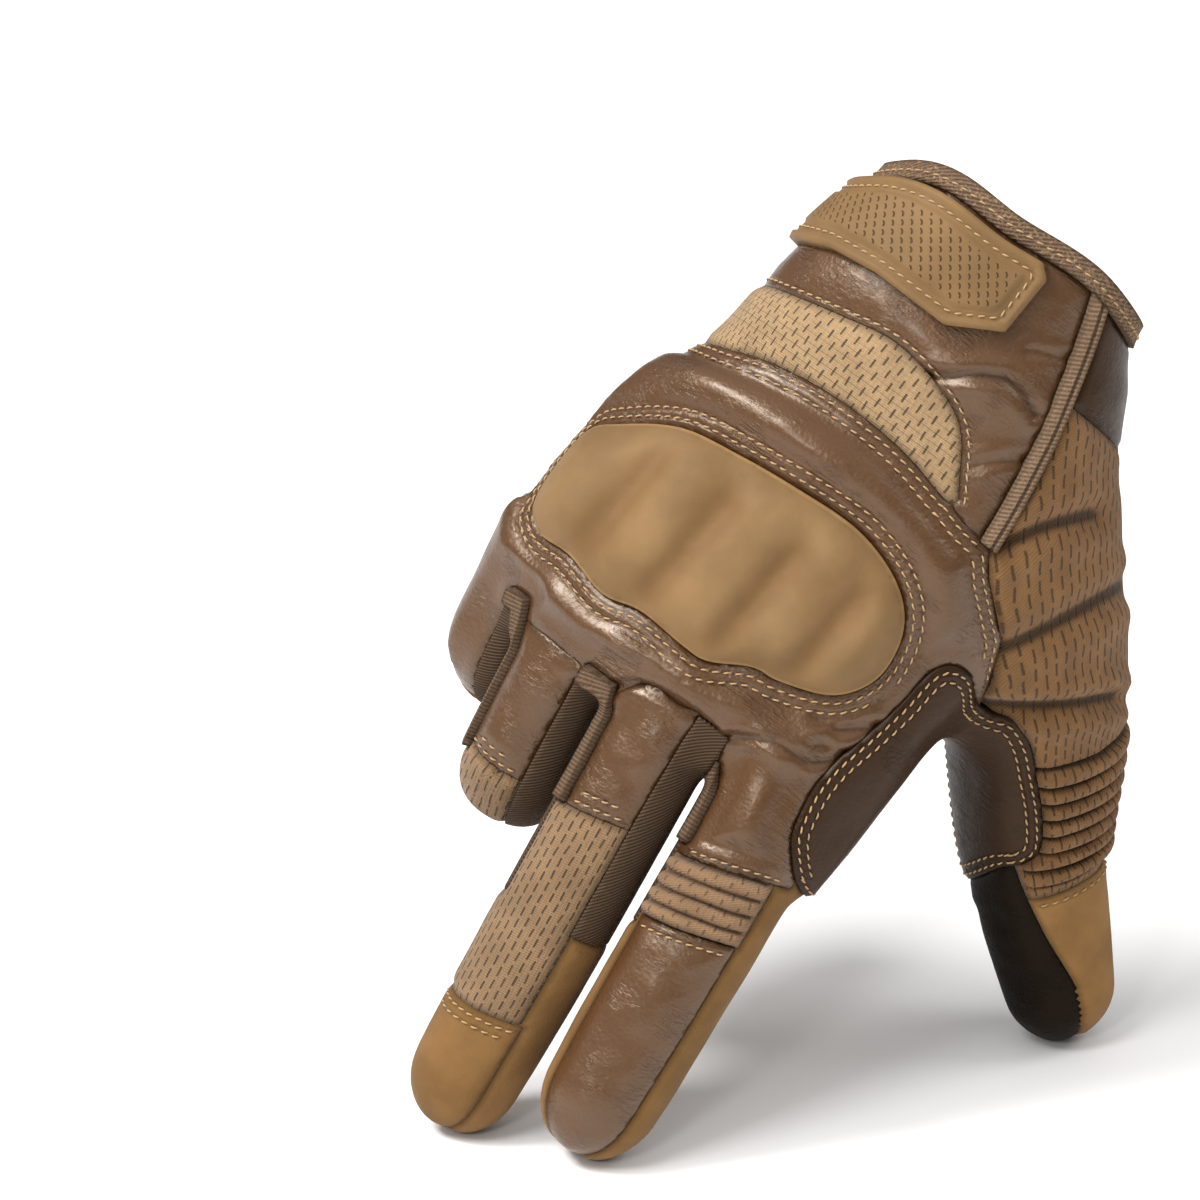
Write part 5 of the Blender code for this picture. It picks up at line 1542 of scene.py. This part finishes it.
def guard_rise(spot, edge):
    """The guard's grooves, which fade out towards the wrist, and its waves, in millimetres."""
    p = spot["p"]
    valleys = np.array(GUARD_VALLEYS) * HAND_BREADTH
    near = np.abs(p[:, :1] + 0.10 * (p[:, 1:2] - 0.69 * HAND_LENGTH) - valleys).min(1)
    low = smoothstep((p[:, 1] - 0.56 * HAND_LENGTH) / 9) * smoothstep(edge / 6)
    return 0.35 * wander(p, 13.0, 2.2) * smoothstep(edge / 6) - 0.80 * bell(near / 2.6) * low


def soft_rise(name, material, spot, edge, seam_far):
    """What the cloth does on top of the solids' own relief, and how deep in a hollow it lies, which sets the
    painted shade there.
    """
    p = spot["p"]
    rise, deep = folds_of(name, spot)
    valleys = rib_valleys(name, spot)
    rise -= RIB_VALLEY * valleys * (1 + 0.35 * wander(p, 6.0))
    if "leather" in material:
        rise += leather_rise(name, spot, edge, seam_far)
    elif material == "knit":
        rise += 0.35 * smoothstep(edge / 3.0) - 0.45 * bell(edge / 1.0)
        rise += 0.18 * wander(p, 7.0, 3.1)
    elif material == "suede":
        rise += 0.25 * smoothstep(edge / 3.0) - 0.35 * bell(edge / 0.9)
        rise += 0.22 * wander(p, 9.0, 5.7) * smoothstep(edge / 5)
    elif name.endswith("piping"):
        rise += 0.25
    elif name == "knuckle_guard":
        rise += guard_rise(spot, edge)
    return rise, np.maximum(deep, valleys)


class Paint:
    """A Principled material of one tone that is put together from named steps."""

    def __init__(self, name, tone, roughness, specular):
        self.tone = tone
        self.material = bpy.data.materials.new(name)
        self.material.use_nodes = True
        self.tree = self.material.node_tree
        self.shader = self.tree.nodes["Principled BSDF"]
        self.set("Roughness", roughness)
        self.set("Specular IOR Level", specular)
        self.set("Specular Tint", (1.0, 0.80, 0.60))
        place = self.node("TexCoord", {}, "Object")
        self.place = self.node("VectorMath", {0: place, 1: (1000, 1000, 1000)}, operation="MULTIPLY")
        cloth = self.node("UVMap", {}, uv_map="cloth")
        self.round = self.node("SeparateXYZ", {0: cloth})
        self.along = self.round.node.outputs[1]

    def put(self, socket, value):
        if isinstance(value, bpy.types.NodeSocket):
            self.tree.links.new(value, socket)
        elif isinstance(value, tuple) and len(value) == 3 and socket.type == "RGBA":
            socket.default_value = (*value, 1)
        else:
            socket.default_value = value

    def set(self, name, value):
        self.put(self.shader.inputs[name], value)

    def node(self, kind, inputs, out=0, **settings):
        node = self.tree.nodes.new("ShaderNode" + kind)
        for key, value in settings.items():
            setattr(node, key, value)
        for place, value in inputs.items():
            self.put(node.inputs[place], value)
        return node.outputs[out]

    def math(self, operation, *values):
        return self.node("Math", dict(enumerate(values)), operation=operation)

    def add(self, one, two):
        return self.math("ADD", one, two)

    def times(self, one, two):
        return self.math("MULTIPLY", one, two)

    def less(self, one, two):
        return self.math("SUBTRACT", one, two)

    def size(self, value):
        return self.math("ABSOLUTE", value)

    def off_middle(self, value):
        """The value's place in its step, measured from the step's middle."""
        return self.less(self.less(value, self.math("FLOOR", value)), 0.5)

    def stagger(self, number):
        """Half a step for each odd number."""
        return self.times(self.math("MODULO", self.size(number), 2.0), 0.5)

    def waves(self, value, pitch):
        return self.math("SINE", self.times(value, 2 * math.pi / pitch))

    def mix(self, share, one, two):
        return self.node("Mix", {0: share, 6: one, 7: two}, 2, data_type="RGBA")

    def stage(self, value, low, high, to_low=0.0, to_high=1.0):
        """The value's place between low and high, smoothed."""
        inputs = {0: value, 1: low, 2: high, 3: to_low, 4: to_high}
        return self.node("MapRange", inputs, interpolation_type="SMOOTHSTEP")

    def fade(self, value, low, high):
        """1 up to low and 0 from high."""
        return self.stage(value, low, high, 1.0, 0.0)

    def fact(self, name):
        return self.node("Attribute", {}, 2, attribute_name=name)

    def noise(self, size, detail=2.0, vector=None, roughness=0.5):
        inputs = {"Vector": vector or self.place, "Scale": 1 / size, "Detail": detail, "Roughness": roughness}
        return self.node("TexNoise", inputs)

    def fuzz(self, size, detail):
        return self.noise(size, detail, roughness=0.65)

    def patches(self, size, detail, low, high, dark, light):
        """The tone in soft patches, from dark to light."""
        share = self.stage(self.noise(size, detail), low, high)
        return self.mix(share, shade(self.tone, dark), shade(self.tone, light))

    def tint(self, colour, mark, share, factor):
        """The colour, taken a share of the way to the tone times the factor where the mark is."""
        return self.mix(self.times(mark, share), colour, shade(self.tone, factor))

    def rim(self, colour, width, share, factor):
        """The colour, changed along the panel's edge."""
        return self.tint(colour, self.fade(self.fact("edge"), 0.0, width), share, factor)

    def bump(self, height, depth, normal=None):
        """Relief of the given depth in millimetres, where the height runs from 0 to 1."""
        inputs = {"Strength": 1.0, "Distance": depth / 1000, "Height": height}
        if normal is not None:
            inputs["Normal"] = normal
        return self.node("Bump", inputs)

    def dent(self, mark, depth, normal):
        return self.bump(self.times(mark, -1.0), depth, normal)

    def rows_groove(self):
        """1 in the grooves in which the stitches lie."""
        return self.fade(self.fact("row"), 0.0, 0.75)

    def painted_hollow_shade(self, colour, share, factor):
        """Paints shade into the hollows of folds and ribs."""
        return self.tint(colour, self.stage(self.fact("deep"), 0.15, 0.95), share, factor)

    def finish(self, colour, normal, roughness=None):
        self.set("Base Color", colour)
        self.set("Normal", normal)
        if roughness is not None:
            self.set("Roughness", roughness)
        return self.material


def shade(tone, factor):
    return tuple(min(1.0, c * factor) for c in tone)


def leather_paint(name, tone, roughness, specular):
    p = Paint(name, tone, roughness, specular)
    grain = p.node("TexVoronoi", {"Vector": p.place, "Scale": 1 / 0.75}, feature="SMOOTH_F1")
    one = p.math("DIVIDE", p.round, 5.5)
    two = p.math("DIVIDE", p.along, 1.6)
    stretched = p.node("CombineXYZ", {0: one, 1: two, 2: 1.0})
    creased = p.stage(p.size(p.less(p.noise(1.0, 4, stretched, 0.55), 0.5)), 0.0, 0.11)
    where = p.stage(p.noise(9.0, 2), 0.47, 0.66)
    groove = p.rows_groove()
    colour = p.patches(14.0, 3, 0.3, 0.72, 0.80, 1.18)
    colour = p.mix(p.times(p.stage(grain, 0.05, 0.5), 0.22), shade(tone, 0.75), colour)
    colour = p.rim(colour, 2.2, 0.55, 0.38)
    colour = p.tint(colour, groove, 0.45, 0.35)
    colour = p.tint(colour, p.times(p.less(1.0, creased), where), 0.30, 0.45)
    # Painted shade: darker where the web patch and the thumb's dark side face away, as the web lies in shade
    colour = p.tint(colour, p.fact("painted_side_shade"), 0.88, 0.14)
    # Painted shade in the hollows of folds
    colour = p.painted_hollow_shade(colour, 0.75, 0.25)
    normal = p.bump(p.add(p.times(grain, 0.55), p.times(p.noise(0.35, 3), 0.25)), 0.17)
    normal = p.bump(p.times(creased, where), 0.17, normal)
    normal = p.dent(groove, 0.30, normal)
    p.set("Coat Weight", 0.4 * specular)
    p.set("Coat Roughness", 0.24)
    return p.finish(colour, normal, p.add(p.times(p.noise(1.2, 3), 0.26), roughness - 0.13))


def suede_paint(name, tone):
    p = Paint(name, tone, 0.85, 0.12)
    nap = p.noise(0.5, 5, roughness=0.7)
    groove = p.rows_groove()
    colour = p.patches(10.0, 4, 0.3, 0.7, 0.84, 1.14)
    colour = p.tint(colour, nap, 0.30, 0.62)
    colour = p.rim(colour, 1.6, 0.6, 0.32)
    colour = p.tint(colour, groove, 0.4, 0.4)
    p.set("Sheen Weight", 0.06)
    p.set("Sheen Roughness", 0.5)
    return p.finish(colour, p.dent(groove, 0.25, p.bump(nap, 0.16)))


def dashes(p, columns, rows):
    """1 on short dashes in columns that are staggered, 0 between them."""
    drift = p.times(p.less(p.noise(6.0, 2), 0.5), columns[0] / 2)
    column = p.math("DIVIDE", p.add(p.round, drift), columns[0])
    shift = p.stagger(p.math("FLOOR", column))
    row = p.add(p.math("DIVIDE", p.along, rows[0]), shift)
    half_w = columns[1] / columns[0] / 2
    half_l = rows[1] / rows[0] / 2
    across_mark = p.fade(p.size(p.off_middle(column)), half_w, half_w + 0.10)
    along_mark = p.fade(p.size(p.off_middle(row)), half_l, half_l + 0.07)
    return p.times(across_mark, along_mark)


def threads(p, round_pitch, along_pitch, slope):
    """Fine crossing threads, from 0 to 1."""
    wave = p.waves(p.add(p.along, p.times(p.round, slope)), along_pitch)
    other = p.waves(p.round, round_pitch)
    return p.add(p.add(p.times(wave, 0.35), p.times(other, 0.15)), 0.5)


def knit_paint(name, tone, columns, rows, round_thread, along_thread, slope, bricks, dark):
    """Knit with dark dashes: columns are their pitch and width, rows their pitch and length."""
    p = Paint(name, tone, 0.9, 0.2)
    marks = dashes(p, columns, rows)
    fine = threads(p, round_thread, along_thread, slope)
    fuzz = p.fuzz(0.45, 4)
    colour = p.patches(8.0, 3, 0.3, 0.7, 0.84, 1.12)
    colour = p.tint(colour, p.less(1.0, fine), 0.50, 0.45)
    colour = p.tint(colour, fuzz, 0.30, 0.6)
    relief = p.add(p.times(fine, 0.6), p.times(fuzz, 0.4))
    if bricks:
        row = p.math("DIVIDE", p.add(p.along, p.times(p.less(p.noise(5.0, 2), 0.5), 0.5)), bricks)
        line = p.stage(p.size(p.off_middle(row)), 0.40, 0.50)
        colour = p.tint(colour, line, 0.30, 0.40)
        relief = p.less(relief, p.times(line, 0.5))
    colour = p.tint(colour, marks, dark, 0.10)
    colour = p.rim(colour, 1.8, 0.6, 0.25)
    # Painted shade in folds and in the valleys between ribs
    colour = p.painted_hollow_shade(colour, 0.88, 0.10)
    p.set("Sheen Weight", 0.12)
    return p.finish(colour, p.dent(marks, 0.28, p.bump(relief, 0.20)))


def twill_paint(name, tone):
    p = Paint(name, tone, 0.9, 0.2)
    line = p.waves(p.add(p.times(p.along, 0.72), p.times(p.round, 0.72)), 0.85)
    line = p.add(p.times(line, 0.5), 0.5)
    fuzz = p.fuzz(0.4, 4)
    colour = p.tint(p.mix(line, shade(tone, 0.38), shade(tone, 1.45)), fuzz, 0.3, 0.5)
    return p.finish(colour, p.bump(p.add(p.times(line, 0.8), p.times(fuzz, 0.3)), 0.22))


def binding_paint(name, tone, speckle, groove=None):
    """Ribbed tape with light specks, and a groove along it where its place is given."""
    p = Paint(name, tone, 0.92, 0.15)
    line = p.waves(p.add(p.along, p.times(p.round, 0.55)), 0.9)
    line = p.add(p.times(line, 0.5), 0.5)
    specks = p.stage(p.noise(0.7, 3, roughness=0.7), 0.48, 0.62)
    colour = p.mix(p.times(line, 0.7), shade(tone, 0.45), shade(tone, 1.25))
    colour = p.tint(colour, specks, speckle, 2.4)
    colour = p.rim(colour, 0.9, 0.6, 0.25)
    normal = p.bump(p.add(p.times(line, 0.7), p.times(specks, 0.5)), 0.28)
    if groove is not None:
        hollow = p.fade(p.size(p.less(p.round, groove)), 0.10, 0.45)
        colour = p.tint(colour, hollow, 0.85, 0.15)
        normal = p.dent(hollow, 0.55, normal)
    return p.finish(colour, normal)


def guard_paint(name, tone):
    p = Paint(name, tone, 0.62, 0.35)
    red, green, blue = tone
    # A darker copy of the tone, painted as shade in the grooves between the knuckle ridges, where the height
    # is low
    low = (red * 0.55, green * 0.42, blue * 0.30)
    colour = p.patches(13.0, 3, 0.32, 0.70, 0.84, 1.12)
    colour = p.mix(p.stage(p.fact("high"), -0.55, 0.5, 0.55, 0.0), colour, low)
    colour = p.tint(colour, p.fade(p.fact("edge"), 0.25, 0.8), 0.75, 1.5)
    normal = p.bump(p.noise(3.5, 3), 0.16, p.bump(p.noise(0.3, 3), 0.04))
    return p.finish(colour, normal, p.add(p.times(p.noise(3.0, 2), 0.12), 0.55))


def rubber_paint(name, tone):
    """Moulded rubber: small crescents in staggered rows, inside the rim and the stitched band."""
    p = Paint(name, tone, 0.6, 0.35)
    wide, tall = 2.15, 1.32
    row = p.math("DIVIDE", p.add(p.along, p.times(p.round, -0.16)), tall)
    column = p.math("DIVIDE", p.add(p.round, p.times(p.along, 0.10)), wide)
    column = p.add(column, p.stagger(p.math("FLOOR", row)))
    x = p.times(p.off_middle(column), wide)
    y = p.times(p.off_middle(row), tall)
    ring = p.fade(p.size(p.less(far_from(p, x, y, -0.55, 0.55), 0.95)), 0.04, 0.20)
    ring = p.times(ring, p.fade(far_from(p, x, y, 0.0, 0.0), 0.38, 0.62))
    marks = p.times(ring, p.stage(p.fact("edge"), 4.4, 4.8))
    colour = p.patches(12.0, 3, 0.3, 0.7, 0.88, 1.10)
    colour = p.tint(colour, marks, 0.72, 0.22)
    colour = p.tint(colour, p.rows_groove(), 0.5, 0.4)
    return p.finish(colour, p.dent(marks, 0.35, p.bump(p.noise(0.3, 3), 0.03)))


def far_from(p, x, y, x_at, y_at):
    """Distance of x and y from a place."""
    x = p.less(x, x_at)
    y = p.less(y, y_at)
    return p.math("SQRT", p.add(p.times(x, x), p.times(y, y)))


def thread_paint(name, tone):
    p = Paint(name, tone, 0.75, 0.3)
    colour = p.mix(p.noise(0.4, 3), shade(tone, 0.6), shade(tone, 1.15))
    return p.finish(colour, p.bump(p.noise(0.2, 2), 0.05))


# Materials: what makes them, tone, the tone's factor and what else the maker is told
PAINTS = {
    "leather": (leather_paint, "leather", 1, 0.37, 0.65),
    # The leather darkened as painted shade
    "deep_leather": (leather_paint, "deep_leather", 1, 0.48, 0.18),
    "dark_leather": (leather_paint, "dark_leather", 1, 0.60, 0.08),
    # Painted light: the suede made lighter for the thumb's tip, which the lamps leave dimmer
    "light_suede": (suede_paint, "suede", 1.35),
    "suede": (suede_paint, "suede", 1),
    "guard": (guard_paint, "guard", 1),
    "rubber": (rubber_paint, "rubber", 1),
    "twill": (twill_paint, "twill", 1),
    "piping": (binding_paint, "twill", 2.2, 0.15),
    "binding": (binding_paint, "binding", 1, 0.55),
    "edging": (binding_paint, "binding", 1.65, 0.20, 0.55),
    "thread": (thread_paint, "thread", 1),
    # columns' pitch and width, rows' pitch and length, round and along thread, slope, bricks, darkness
    "wrist_knit": (knit_paint, "wrist_knit", 1, (1.45, 0.15), (3.8, 1.6), 1.0, 0.46, 0, 1.9, 0.8),
    "thumb_knit": (knit_paint, "thumb_knit", 1, (2.1, 0.16), (3.7, 2.3), 5.0, 0.62, 0.75, 0, 0.7),
    "finger_knit": (knit_paint, "finger_knit", 1, (1.9, 0.16), (2.8, 1.7), 0.8, 0.5, 0.1, 0, 0.75),
    "rib_knit": (knit_paint, "rib_knit", 1, (1.7, 0.16), (3.4, 0.8), 0.9, 0.5, 0.6, 0, 0.4),
}
MADE = {}


def paint(name):
    if name not in MADE:
        maker, tone, factor, *told = PAINTS[name]
        MADE[name] = maker(name, shade(TONES[tone], factor), *told)
    return MADE[name]


# The panels whose paint isn't that of their material
PAINT_OF = {
    # The thumb's tip takes the suede with painted light
    "thumb_tip": "light_suede",
    # The web patch and the inside of the cuff take the leather with painted shade
    "web_patch": "deep_leather",
    "inner_cuff": "deep_leather",
    "wrist_knit": "wrist_knit",
    "thumb_knit": "thumb_knit",
    "index_ribs": "rib_knit",
    "middle_knit": "finger_knit",
    "ring_knit": "finger_knit",
    "little_knit": "finger_knit",
    **{slit + "_piping": "piping" for slit in SLITS},
    "flap_binding": "edging",
}


def add_panel(name, spot, chosen, base, rise, wall, gap, material, facts, rows):
    """One panel as an object that replaces its solid, with its facts kept at its points, and its stitches."""
    points, faces, source = wall_mesh(spot, chosen, base, rise, wall, gap)
    mesh = bpy.data.meshes.new(name)
    mesh.from_pydata(to_row(points).tolist(), [], faces.tolist())
    mesh.shade_smooth()
    for key, values in facts.items():
        kept = mesh.attributes.new(key, "FLOAT", "POINT")
        kept.data.foreach_set("value", np.tile(values[source], 2).astype(np.float32))
    layer = mesh.uv_layers.new(name="cloth")
    corners = np.empty(len(mesh.loops), np.int32)
    mesh.loops.foreach_get("vertex_index", corners)
    flat = np.stack(cloth_places(name, spot), 1)[source][corners % len(source)]
    layer.data.foreach_set("uv", flat.astype(np.float32).ravel())
    item = add_item("visual_" + name, mesh, PAINT_OF.get(name, material))
    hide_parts(name)
    found = []
    for value, usable in rows:
        found += stitch_rows(points[: len(source)], faces[: len(chosen)], value[source], usable[source])
    add_stitches("stitches_" + name, found)


def rib_band(spot):
    """The points on the ribs of the thumb and of the index finger."""
    found = np.zeros(len(spot["p"]), bool)
    for name in RIBBED:
        phase, count, *_ = rib_facts(name, spot)
        found |= (claim(name, spot) > -0.5) & (phase > -0.6) & (phase < count + 0.6)
    return found


def cut_sheet(names):
    """The skin, cut along all seams and along the steps of the strap's end."""
    skin = Skin(VOXEL)
    points, faces = skin.mesh()
    sheet = Sheet(skin, points, faces)
    sheet.cut(rim_cut)
    for _ in range(RIB_SPLITS):
        sheet.refine(rib_band(sheet.spot))
    sheet.faces = sheet.faces[rim_cut(sheet.spot)[sheet.faces].mean(1) > 0]
    for place, name in enumerate(names[:-1]):
        sheet.cut(lambda spot, own_name=name: claim(own_name, spot), claimed(names[:place]))
    sheet.cut(strap_pad)
    for inset in (RIM_INSET - STRAP_STEP, RIM_INSET, FIELD_INSET, FIELD_INSET + STRAP_STEP):
        sheet.cut(lambda spot, far=inset: strap_pad(spot) - far)
    return sheet


def build_glove():
    names = list(PANELS)
    sheet = cut_sheet(names)
    spot = sheet.spot
    labels = np.full(len(sheet.faces), len(names) - 1)
    for place in range(len(names) - 2, -1, -1):
        labels[claim(names[place], spot)[sheet.faces].mean(1) > 0] = place
    labels = settle(sheet.faces, labels, spot["p"])
    edges, index = edges_of(sheet.faces)
    sides = index.reshape(-1)
    low = np.full(len(edges), 99)
    high = np.full(len(edges), -1)
    np.minimum.at(low, sides, np.repeat(labels, 3))
    np.maximum.at(high, sides, np.repeat(labels, 3))
    seams = (low != high) | (np.bincount(sides, minlength=len(edges)) == 1)
    everywhere = np.ones(len(spot["p"]), bool)
    for place, name in enumerate(names):
        chosen = sheet.faces[labels == place]
        used = np.unique(chosen)
        edge = np.zeros(len(spot["p"]))
        border = edges[seams & ((low == place) | (high == place))]
        edge[used] = reach_to(along_edges(spot["p"], border), spot["p"][used])
        row = np.full(len(spot["p"]), ROW_OFF)
        seam_far = np.full(len(spot["p"]), FAR_OFF)
        marks = []
        for panel, neighbour, rows in STITCHED:
            if panel != name:
                continue
            other = names.index(neighbour)
            shared = edges[(low == min(place, other)) & (high == max(place, other))]
            if not len(shared):
                continue
            far = np.full(len(spot["p"]), FAR_OFF)
            far[used] = reach_to(along_edges(spot["p"], shared), spot["p"][used])
            near = far - edge < SEAM_ENDS
            seam_far = np.minimum(seam_far, np.where(near, far, FAR_OFF))
            for at in rows:
                row = np.minimum(row, np.where(near, np.abs(far - at), ROW_OFF))
                marks.append((far - at, near & (spot["n"][:, 2] < ROW_TURN)))
        if name == "cuff_binding":
            marks.append((rim_cut(spot) - RIM_BINDING * 0.55, everywhere))
        rise, base = relief(name, spot)
        extra = np.zeros(len(rise))
        deep = np.zeros(len(rise))
        few = {key: values[used] for key, values in spot.items()}
        material = PANELS[name][0]
        extra[used], deep[used] = soft_rise(name, material, few, edge[used], seam_far[used])
        # deep sets the painted shade in folds and between ribs, high sets the guard's painted shade in its
        # grooves
        facts = {"edge": edge, "row": row, "high": extra, "deep": deep}
        # Painted shade for the web patch and the thumb's dark side, strongest where they face -x
        if name in ("web_patch", "thumb_palm"):
            facts["painted_side_shade"] = smoothstep((0.25 - spot["n"][:, 0]) / 0.9)
        add_panel(name, spot, chosen, base, rise + extra, wall_of(name), PANEL_GAP, material, facts, marks)
    # The strap's end lies on the cuff
    value = strap_pad(spot)
    carriers = [names.index("cuff_leather"), names.index("cuff_underside")]
    chosen = sheet.faces[(value[sheet.faces].mean(1) > 0) & np.isin(labels, carriers)]
    rim = RIM_HEIGHT * smoothstep((RIM_INSET - value) / STRAP_STEP)
    field = FIELD_HEIGHT * smoothstep((value - FIELD_INSET) / STRAP_STEP)
    base = swell(spot) + CLEARANCE + STRAP_WALL
    rise = base + STRAP_LIFT + rim + field - EDGE_DROP * bell(value / STRAP_STEP)
    facts = {"edge": value, "row": np.abs(value - STRAP_ROW), "high": field}
    rows = [(value - STRAP_ROW, everywhere)]
    add_panel("strap_pad", spot, chosen, base, rise, STRAP_WALL, 0.0, "rubber", facts, rows)


def add_camera():
    """The camera at the photograph's place, and the point that it looks at."""
    right, up = ((at - PHOTO_SIDE / 2) * PHOTO_SCALE / 1000 for at in WRIST_IN_PHOTO)
    ahead = np.array([0, math.cos(LEAN), -math.sin(LEAN)])
    above = np.array([0, math.sin(LEAN), math.cos(LEAN)])
    target = to_row(np.zeros((1, 3)))[0] + np.array([-right, 0, 0]) + above * up
    data = bpy.data.cameras.new("camera")
    data.sensor_width = SENSOR
    data.lens = SENSOR * PHOTO_FAR * 1000 / (PHOTO_SIDE * PHOTO_SCALE)
    data.clip_start = 0.05
    data.clip_end = 50
    camera = bpy.data.objects.new("camera", data)
    place = target - ahead * PHOTO_FAR
    rows = [(1, 0, 0, place[0])] + [(0, above[k], -ahead[k], place[k]) for k in (1, 2)] + [(0, 0, 0, 1)]
    camera.matrix_world = Matrix(rows)
    bpy.context.scene.collection.objects.link(camera)
    bpy.context.scene.camera = camera
    return target


def add_light(target, name, kind, energy, way, width):
    """A lamp off the target, turned to it: the width is the sun's angle in degrees or an area's side."""
    data = bpy.data.lights.new(name, kind)
    data.energy = energy
    if kind == "SUN":
        data.angle = math.radians(width)
    else:
        data.size = width
    item = bpy.data.objects.new(name, data)
    item.location = target + np.array(way)
    item.rotation_mode = "QUATERNION"
    item.rotation_quaternion = Vector(way).to_track_quat("Z", "Y")
    bpy.context.scene.collection.objects.link(item)


def add_studio(target):
    """A white floor, a soft key from the upper left and pale light all round."""
    scene = bpy.context.scene
    scene.view_settings.view_transform = "Standard"
    mesh = bpy.data.meshes.new("floor")
    mesh.from_pydata([(-6, -6, 0), (6, -6, 0), (6, 6, 0), (-6, 6, 0)], [], [(0, 1, 2, 3)])
    floor = bpy.data.objects.new("floor", mesh)
    floor.location = (0, 0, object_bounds()[0][2] - FLOOR_GAP)
    scene.collection.objects.link(floor)
    p = Paint("floor", TONES["floor"], 0.5, 0.3)
    mesh.materials.append(p.finish(p.tone, p.bump(p.noise(200.0, 1), 0.001)))
    floor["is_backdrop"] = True
    add_world(scene)
    for light in LIGHTS:
        add_light(target, *light)


def add_world(scene):
    """Pale light from all round, strongest from above on the left and weakest from the front on the right."""
    world = bpy.data.worlds.new("studio")
    world.use_nodes = True
    tree = world.node_tree
    place = tree.nodes.new("ShaderNodeTexCoord")
    dot = tree.nodes.new("ShaderNodeVectorMath")
    dot.operation = "DOT_PRODUCT"
    dot.inputs[1].default_value = (-0.12, -0.12, 0.98)
    reach = tree.nodes.new("ShaderNodeMapRange")
    for socket, value in ((1, 0.05), (2, 1.0), (3, 0.05), (4, 0.88)):
        reach.inputs[socket].default_value = value
    sky = tree.nodes["Background"]
    sky.inputs[0].default_value = (1, 1, 1, 1)
    tree.links.new(place.outputs["Generated"], dot.inputs[0])
    tree.links.new(dot.outputs["Value"], reach.inputs[0])
    tree.links.new(reach.outputs[0], sky.inputs[1])
    scene.world = world


target = add_camera()
build_glove()
add_studio(target)
